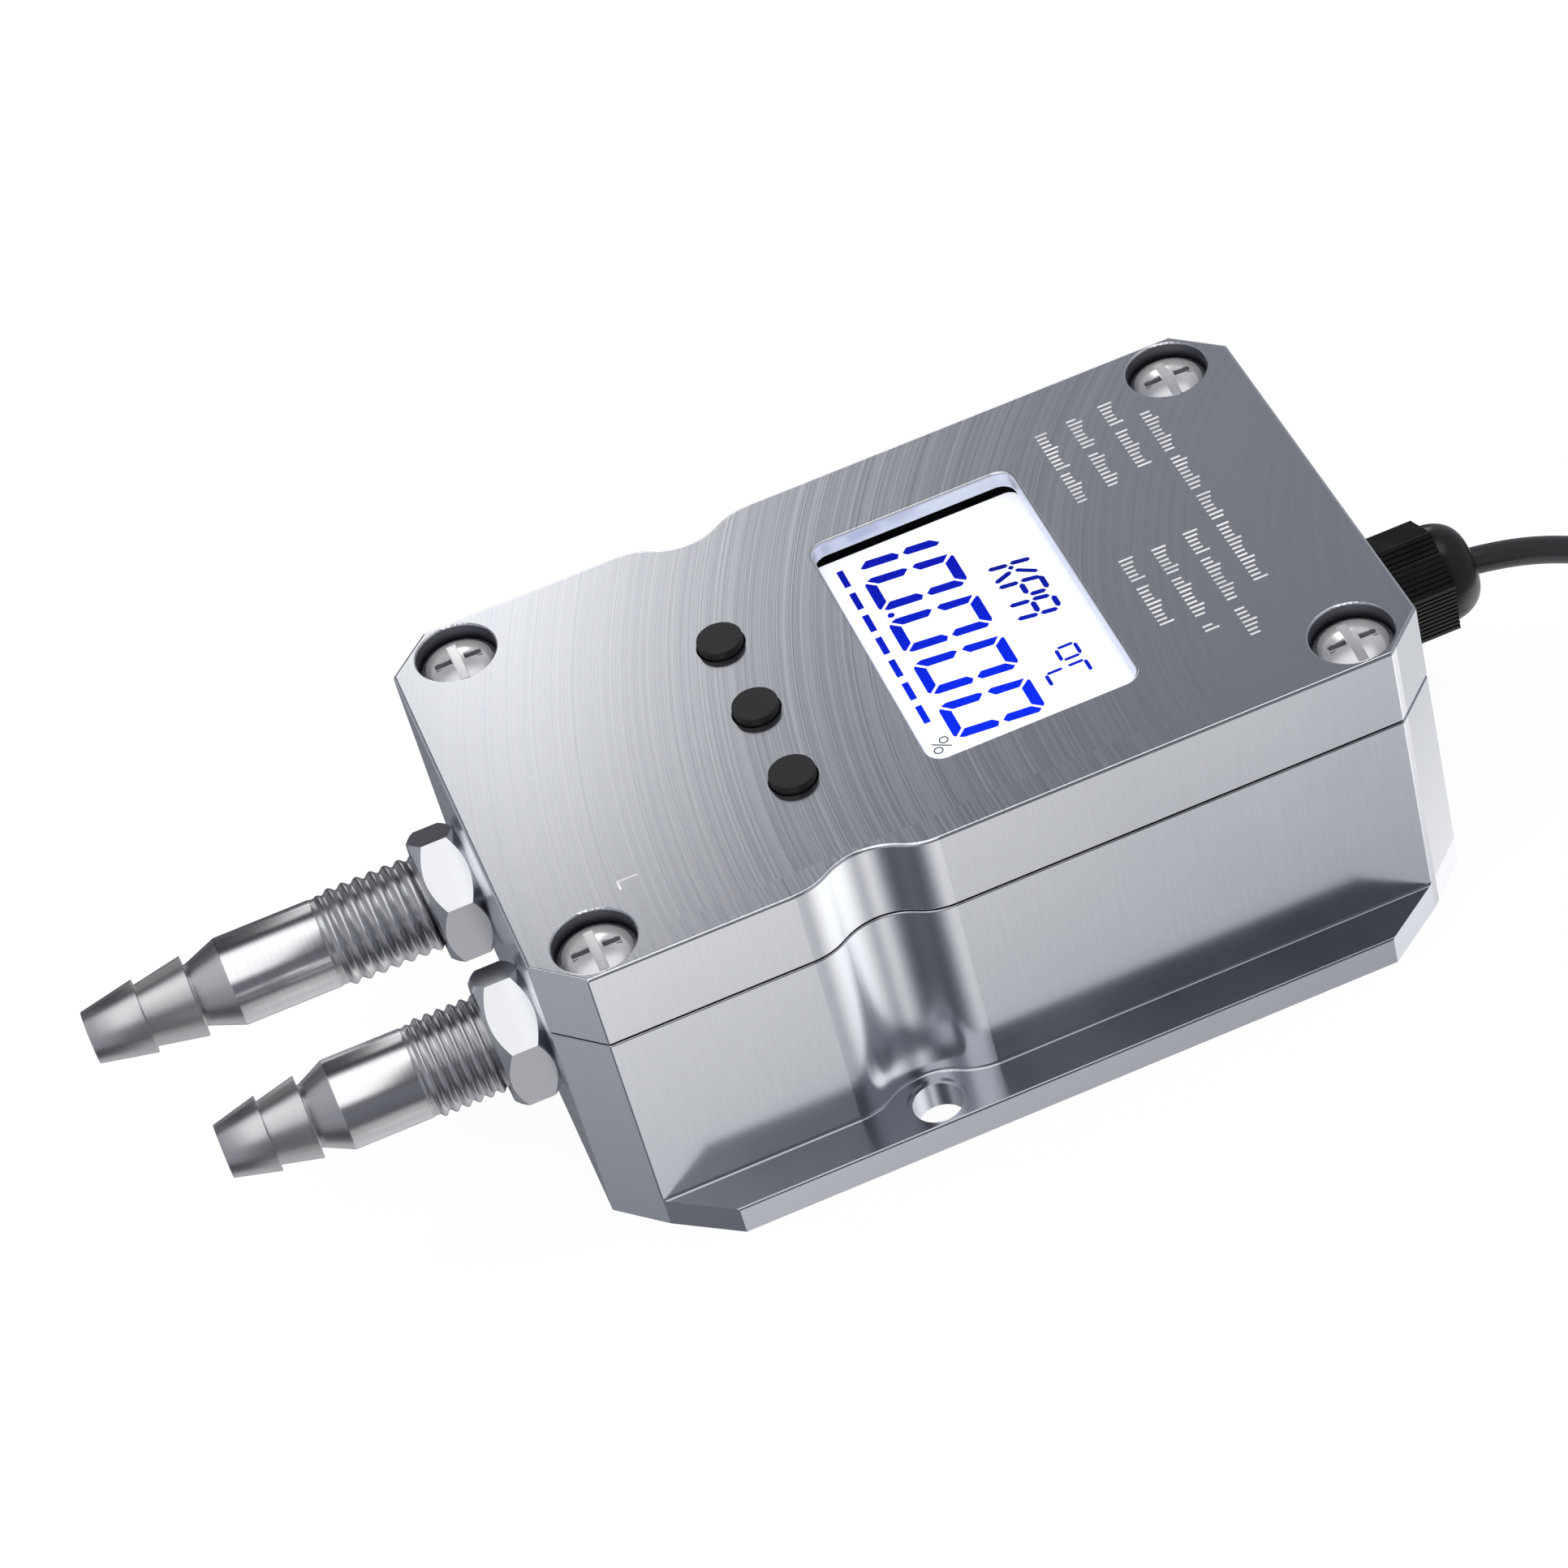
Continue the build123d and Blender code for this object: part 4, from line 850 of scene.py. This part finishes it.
def addScrew(number):
    node = f"lid_screw_{number}"
    low, high = (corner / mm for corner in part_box(node))
    top = high.z
    head, dome, shank = screw["headRadius"], screw["domeHeight"], screw["shankRadius"]
    edge = top - dome
    seat = edge - screw["sideHeight"]
    ball = (head ** 2 + dome ** 2) / (2 * dome)
    reach = math.asin(head / ball)
    profile = [(0, low.z), (shank, low.z), (shank, seat), (head, seat)]
    for ring in range(screw["rings"] + 1):
        angle = reach * (1 - ring / screw["rings"])
        profile.append((ball * math.sin(angle), top - ball * (1 - math.cos(angle))))
    mesh = bmesh.new()
    verts = [mesh.verts.new((radius, 0, height)) for radius, height in profile]
    edges = [mesh.edges.new(pair) for pair in zip(verts, verts[1:])]
    bmesh.ops.spin(mesh, geom=verts + edges, cent=(0, 0, 0), axis=(0, 0, 1), dvec=(0, 0, 0),
                   angle=2 * math.pi, steps=screw["around"], use_merge=True)
    bmesh.ops.remove_doubles(mesh, verts=mesh.verts, dist=screw["merge"])
    bmesh.ops.recalc_face_normals(mesh, faces=mesh.faces)
    inner, outer = screw["pocketReach"]
    innerHalf, outerHalf = screw["pocketHalf"]
    slotLow, slotHigh = screw["slot"]
    slotFloor = top - screw["slotDepth"]
    for across in (slotLow, slotHigh, inner, outer, -inner, -outer):
        cutDome(mesh, (across, 0, 0), (1, 0, 0), edge)
    for side in (-1, 1):
        for half in (-1, 1):
            normal = (half * (innerHalf - outerHalf), side * (outer - inner), 0)
            cutDome(mesh, (side * inner, half * innerHalf, 0), normal, edge)
    cutDome(mesh, (0, 0, slotFloor), (0, 0, 1), edge)
    sinkFaces(mesh, lambda spot: slotLow < spot.x < slotHigh and spot.z > slotFloor, slotFloor)

    def inPocket(spot, side):
        width = mix(innerHalf, outerHalf, (spot.x * side - inner) / (outer - inner))
        return inner < spot.x * side < outer and abs(spot.y) < width and spot.z > edge

    for side in (-1, 1):
        floor = sinkFaces(mesh, lambda spot: inPocket(spot, side), top - screw["pocketDepth"])
        bmesh.ops.scale(mesh, vec=(1, screw["pocketFloor"], 1), verts=floor)
    bmesh.ops.remove_doubles(mesh, verts=mesh.verts, dist=screw["merge"])
    bmesh.ops.dissolve_degenerate(mesh, edges=mesh.edges, dist=screw["merge"])
    centre = (low + high) / 2
    bmesh.ops.translate(mesh, vec=(centre.x, centre.y, 0), verts=mesh.verts)
    piece = makePiece(f"lidScrew{number}", mesh, finishes["screw_steel"])
    piece.data.set_sharp_from_angle(angle=math.radians(screw["sharpAngle"]))
    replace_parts(piece, node)


for number in lidCorners:
    addScrew(number)
print("lid screws made")


# Print on the lid: the mark of the low port, and rows of plain ticks
lidPrint = {
    "surface": 44.0,
    "sink": 0.01,
    "thickness": 0.02,
    "shade": colour("f4f5f8"),
    "mark": [((-43.6, -21.3), (-40.9, -21.0)), ((-43.6, -22.6), (-43.28, -21.31))],
    "tick": (0.3, 0.82),  # width and pitch
    "tickHeights": (1.9, 1.3, 1.3, 1.6, 1.3),
    "tickStep": 3,  # the next tick's height stands this far on in the list
    "foot": 0.9,  # from a row's middle to the foot of its ticks
    "gap": 1.1,
    # rows as the place across, the start along, the lengths of the groups
    "rows": [
        (43.6, 22.6, (9.0, 7.2, 5.4, 12.6)),
        (39.5, 27.0, (5.0, 8.2)), (39.4, -1.4, (4.6, 9.4, 5.6)),
        (34.9, 26.5, (6.6, 7.4)), (34.9, -2.0, (5.4, 8.6, 2.0)),
        (30.4, 26.1, (7.8, 6.2)), (30.6, -1.7, (4.8, 8.4)),
    ],
}


def addBar(mesh, low, high):  # a box from its low corner to its high corner
    made = bmesh.ops.create_cube(mesh, size=1)["verts"]
    bmesh.ops.scale(mesh, vec=[end - start for start, end in zip(low, high)], verts=made)
    bmesh.ops.translate(mesh, vec=[(start + end) / 2 for start, end in zip(low, high)], verts=made)


def addLidPrint():
    foot = lidPrint["surface"] - lidPrint["sink"]
    top = lidPrint["surface"] + lidPrint["thickness"]
    mesh = bmesh.new()
    for low, high in lidPrint["mark"]:
        addBar(mesh, (*low, foot), (*high, top))
    width, pitch = lidPrint["tick"]
    heights = lidPrint["tickHeights"]
    step = lidPrint["tickStep"]
    for across, start, lengths in lidPrint["rows"]:
        for length in lengths:
            for number in range(round(length / pitch)):
                low = across - lidPrint["foot"]
                high = low + heights[(number * step + round(length)) % len(heights)]
                right = start - number * pitch
                addBar(mesh, (low, right - width, foot), (high, right, top))
            start -= length + lidPrint["gap"]
    finish = makePlastic("lidPrint", lidPrint["shade"], 0.5, depth=0.002)
    makePiece("lidPrint", mesh, finish, smooth=False)


addLidPrint()
print("lid print placed")


# Segments of the display. Across runs with the digits' height (+X), down with the reading direction (-Y)
display = {
    "origin": (1.45, 16.67),  # foot of the first full digit
    "surface": 40.2,
    "thickness": 0.04,
    "pitch": 8.82,
    # inks at the far and the near end of the display
    "digitInk": (colour("0715ac"), colour("0429ea")),
    "unitInk": (colour("0a1680"), colour("0620c4")),
    "percentInk": (colour("3e4148"), colour("3e4148")),
    "inkGlow": 0.8,
    "inkBlack": 0.7,  # the ink's own colour is this much black, beside its glow
    "inkFade": (-18.0, 16.0),  # from the far to the near ink between these places
    "ends": [
        [(0.2, 0.63), (1.37, 1.73), (1.37, 5.17), (0.27, 6.27), (0.0, 5.9), (0.0, 1.07)],
        [(11.6, 1.57), (11.8, 1.9), (11.8, 6.57), (11.53, 7.0), (10.33, 5.9), (10.33, 2.67)],
    ],
    "upper": [
        [(0.5, 0.33), (1.23, 0.0), (5.33, 0.5), (5.83, 0.9), (5.0, 1.83), (1.67, 1.5)],
        [(6.43, 1.0), (7.0, 0.57), (11.23, 1.17), (10.23, 2.3), (7.17, 2.0)],
    ],
    "lower": [
        [(0.6, 6.5), (1.67, 5.43), (5.17, 5.83), (5.83, 6.57), (5.43, 7.3), (1.1, 6.83)],
        [(6.33, 6.63), (7.07, 5.9), (10.17, 6.23), (11.17, 7.23), (10.67, 7.7), (6.77, 7.23)],
    ],
    "dot": (0.97, 7.9, 0.46),
    "dashes": {"across": (-2.33, -1.47), "start": -3.43, "length": 3.4, "pitch": 4.76, "count": 7},
    # unit marks as strokes: from, to, width
    "strokes": [
        (14.5, 6.9, 17.1, 7.35, 0.74), (17.35, 7.2, 20.0, 7.7, 0.74), (17.23, 7.55, 17.23, 8.45, 0.74),
        (14.45, 9.7, 17.0, 8.65, 0.74), (17.5, 8.65, 20.0, 10.4, 0.62),
        (14.5, 10.7, 17.1, 11.07, 0.74), (17.35, 10.97, 19.85, 11.5, 0.74), (17.23, 11.4, 17.23, 13.65, 0.74),
        (19.87, 11.4, 19.87, 14.0, 0.74), (17.43, 13.9, 19.6, 14.2, 0.74),
        (14.43, 14.6, 17.1, 15.0, 0.74), (17.35, 14.9, 19.6, 15.4, 0.74), (17.23, 15.23, 17.23, 17.5, 0.74),
        (19.87, 15.63, 19.87, 17.93, 0.74), (14.43, 17.33, 17.1, 17.83, 0.74),
        (17.35, 17.83, 19.6, 18.2, 0.74),
        (16.7, 24.97, 18.83, 24.97, 0.45), (16.47, 25.07, 16.47, 27.3, 0.5),
        (18.97, 25.07, 18.97, 27.27, 0.5), (16.7, 27.33, 18.83, 27.33, 0.45),
        (13.9, 28.53, 16.03, 28.53, 0.45), (16.7, 28.53, 18.83, 28.53, 0.45),
        (13.77, 28.6, 13.77, 30.75, 0.5), (18.97, 28.6, 18.97, 30.75, 0.5),
    ],
    "percent": {"rings": [(-2.47, 33.8), (-1.27, 32.4)], "radius": 0.53, "width": 0.16,
                "line": (-2.93, 32.4, -0.7, 33.85)},
}


def displaySpot(across, down):
    return Vector((display["origin"][0] + across, display["origin"][1] - down, display["surface"]))


def raiseFaces(mesh, faces):  # gives flat faces the print's thickness
    bmesh.ops.translate(mesh, vec=(0, 0, display["thickness"]), verts=extrudeRegion(mesh, faces))


def addPlate(mesh, corners):
    raiseFaces(mesh, [mesh.faces.new([mesh.verts.new(displaySpot(*corner)) for corner in corners])])


def addStroke(mesh, x0, y0, x1, y1, width):  # a bar with pointed ends
    along = Vector((x1 - x0, y1 - y0))
    step = along.normalized() * width / 2
    off = Vector((-step.y, step.x))
    start, end = Vector((x0, y0)), Vector((x1, y1))
    addPlate(mesh, [start, start + step + off, end - step + off, end, end - step - off, start + step - off])


def addRing(mesh, middle, radius, width):
    place = Matrix.Translation(displaySpot(*middle))
    loops = []
    for size in (radius - width / 2, radius + width / 2):
        hoop = bmesh.ops.create_circle(mesh, segments=32, radius=size, matrix=place)
        loops += list(dict.fromkeys(edge for vert in hoop["verts"] for edge in vert.link_edges))
    raiseFaces(mesh, bmesh.ops.bridge_loops(mesh, edges=loops)["faces"])


def makeInk(name):  # the ink is a little lighter towards the near end
    finish = Finish(name, Roughness=0.5, Specular_IOR_Level=0.0, Emission_Strength=display["inkGlow"])
    whole, (x, y, z) = finish.place()
    cloud = finish.noise(whole, 1.5, 2.0)
    near = finish.steps((cloud - 0.5) * 4.0 - y, *display["inkFade"])
    tone = finish.blend(near, *display[name])
    finish.feed("Base Color", finish.blend(display["inkBlack"], tone, black))
    finish.feed("Emission Color", tone)
    return finish.material


def finishMarks(name, mesh, ink):
    bmesh.ops.recalc_face_normals(mesh, faces=mesh.faces)
    makePiece(name, mesh, makeInk(ink), smooth=False)


def addDisplay():
    digits = bmesh.new()
    for number in range(-1, 4):
        parts = display["lower"] if number < 0 else display["ends"] + display["upper"] + display["lower"]
        for outline in parts:
            addPlate(digits, [(across, down + number * display["pitch"]) for across, down in outline])
    across, down, radius = display["dot"]
    depth = display["thickness"]
    middle = displaySpot(across, down) + Vector((0, 0, depth / 2))
    bmesh.ops.create_cone(digits, cap_ends=True, segments=32, radius1=radius, radius2=radius, depth=depth,
                          matrix=Matrix.Translation(middle))
    dashes = display["dashes"]
    low, high = dashes["across"]
    for number in range(dashes["count"]):
        start = dashes["start"] + number * dashes["pitch"]
        end = start + dashes["length"]
        addPlate(digits, [(low, start), (high, start), (high, end), (low, end)])
    finishMarks("displayDigits", digits, "digitInk")
    marks = bmesh.new()
    for stroke in display["strokes"]:
        addStroke(marks, *stroke)
    finishMarks("displayUnits", marks, "unitInk")
    percent = bmesh.new()
    sign = display["percent"]
    for middle in sign["rings"]:
        addRing(percent, middle, sign["radius"], sign["width"])
    addStroke(percent, *sign["line"], sign["width"])
    finishMarks("displayPercent", percent, "percentInk")


addDisplay()
print("display segments placed")


# Floor and studio, in metres
studio = {
    "floor": colour("f4f4f5"),
    "floorSize": 6.0,
    "floorDrop": 0.00005,
    "floorGlow": (0.9, 1.04),  # share and strength of the white that cameras see
    "sky": 0.62,  # plain light on matt surfaces
    # what bright metal sees: brightness below the horizon, by the angle from -Y towards +X in degrees
    "round": [(-180, 0.2), (-110, 0.35), (-86, 0.45), (-64, 0.15), (-38, 0.11), (-25, 0.22), (-12, 0.58),
              (-1, 0.88), (6, 0.84), (12, 0.67), (19, 0.53), (25, 0.58), (34, 0.84), (46, 1.17), (60, 1.35),
              (80, 1.31), (96, 1.15), (108, 1.0), (125, 0.85), (150, 0.45), (180, 0.2)],
    "below": (0.6, -0.83, -0.93),  # straight below, and from where to where along the direction's Z
    "horizon": (-0.56, -0.36),  # from what is below to what is above
    "near": (0.15, 0.07, 24.0, 31.0),  # low down and higher up, and between which angles
    "far": 0.09,
    "halves": (0.1, -0.1),  # from the far to the near half, by the direction's Y
    # the soft box overhead, by the tilt from -Y up over the object, slanted towards +X
    "overhead": {"from": (28.0, 44.0), "to": (104.0, 124.0), "slant": (300.0, 0.15), "level": 1.2,
                 "ends": (0.4, 0.55)},
    # the far panel that lights the lid, by height, and its right edge, which leans through a corner
    "panel": {"foot": (0.0, 6.0), "top": (42.0, 48.0), "start": (1.2, 3.0), "edge": (1.2, 7.7),
              "corner": (10.0, 42.0), "lean": 0.54, "left": 1.84, "right": 0.24},
    "cool": ((0.9, 0.94, 1.06, 1), 0.15, 0.8),  # the dark parts are a little blue
    "beside": (0.25, 0.45, 0.37),  # left and right above the horizon: from, to and brightness
    "aim": (0, 0, 0.02),
    "lamps": {
        "farLeft": {"at": (-0.50, 0.87, 0.85), "size": (1.1, 0.8), "power": 5.0},
        "nearLeft": {"at": (-1.10, -0.45, 0.75), "size": (0.8, 0.8), "power": 4.0},
        "right": {"at": (1.10, -0.20, 0.80), "size": (0.5, 0.9), "power": 3.0},
    },
}


def addFloor():
    mesh = bmesh.new()
    bmesh.ops.create_grid(mesh, x_segments=8, y_segments=8, size=studio["floorSize"] / 2)
    bmesh.ops.translate(mesh, vec=(0, 0, -studio["floorDrop"]), verts=mesh.verts)
    data = makeData("floor", mesh)
    finish = Finish("floorPaper", Roughness=0.8, Base_Color=studio["floor"], Specular_IOR_Level=0.0)
    seen = (finish.ray("Camera") + finish.ray("Glossy") + finish.ray("Transmission")).math("MINIMUM", 1.0)
    share, strength = studio["floorGlow"]
    glow = finish.node("ShaderNodeEmission", sockets=(white, strength))
    mixed = finish.node("ShaderNodeMixShader", sockets={0: seen * share, 2: glow})
    finish.tree.links.new(finish.shader.outputs[0], mixed.socket.node.inputs[1])
    finish.tree.links.new(mixed.socket, finish.tree.nodes["Material Output"].inputs[0])
    data.materials.append(finish.material)
    floor = addObject("floor", data)
    floor.visible_glossy = False  # metal mirrors the studio's panels below it


def addSky():
    world = bpy.data.worlds.new("studio")
    bpy.context.scene.world = world
    world.use_nodes = True
    sky = Graph(world.node_tree)
    x, y, z = sky.parts(sky.node("ShaderNodeTexCoord", output="Generated"))
    across = x.math("ABSOLUTE")
    forward = 0 - y
    degree = 180 / math.pi
    turn = x.math("ARCTAN2", forward) / (2 * math.pi) + 0.5
    rise = z.math("ARCSINE") * degree
    tilt = z.math("ARCTAN2", forward) * degree
    # halved in the ramp, whose colours stop at 1
    stops = [((degrees + 180) / 360, level / 2) for degrees, level in studio["round"]]
    under, start, full = studio["below"]
    lower = mix(sky.ramp(turn, *stops) * 2.0, under, sky.steps(z, start, full))
    panel = studio["panel"]
    farTurn = x.math("ARCTAN2", y) * degree
    cornerTurn, cornerRise = panel["corner"]
    beside = (cornerTurn - farTurn) + (cornerRise - rise) * panel["lean"]
    shine = mix(panel["right"], panel["left"], sky.steps(beside, *panel["edge"]))
    held = sky.steps(rise, *panel["foot"]) * (1 - sky.steps(rise, *panel["top"]))
    far = mix(studio["far"], shine, held * sky.steps(farTurn, *panel["start"]))
    low, high, start, full = studio["near"]
    near = mix(low, high, sky.steps(rise, start, full))
    upper = mix(far, near, sky.steps(y, *studio["halves"]))
    start, full, shine = studio["beside"]
    upper = mix(upper, shine, sky.steps(across, start, full))
    box = studio["overhead"]
    slope, most = box["slant"]
    slant = x.math("MAXIMUM", 0.0).math("MINIMUM", most) * slope
    over = sky.steps(tilt - slant, *box["from"]) * (1 - sky.steps(tilt, *box["to"]))
    upper = mix(upper, box["level"], over * (1 - sky.steps(across, *box["ends"])))
    level = mix(lower, upper, sky.steps(z, *studio["horizon"]))
    # only gloss sees the soft boxes, and the camera sees white
    gloss = sky.ray("Glossy")
    seen = sky.ray("Camera").math("MAXIMUM", sky.ray("Transmission"))
    strength = mix(mix(studio["sky"], level, gloss), 1.0, seen)
    cool, low, high = studio["cool"]
    tint = sky.blend(gloss * (1 - sky.steps(level, low, high)), white, cool)
    backdrop = sky.tree.nodes["Background"]
    sky.tree.links.new(strength.socket, backdrop.inputs["Strength"])
    sky.tree.links.new(tint.socket, backdrop.inputs["Color"])


def addLamps():
    for name, lamp in studio["lamps"].items():
        light = bpy.data.lights.new(name, "AREA")
        light.shape = "RECTANGLE"
        light.size, light.size_y = lamp["size"]
        light.energy = lamp["power"]
        box = addObject(name, light)
        box.location = lamp["at"]
        heading = Vector(studio["aim"]) - Vector(lamp["at"])
        box.rotation_euler = heading.to_track_quat("-Z", "Y").to_euler()
        box.visible_camera = False
        box.visible_glossy = False  # their place in a mirror is the studio's own panels


addFloor()
addSky()
addLamps()
print("floor, sky and lamps set")
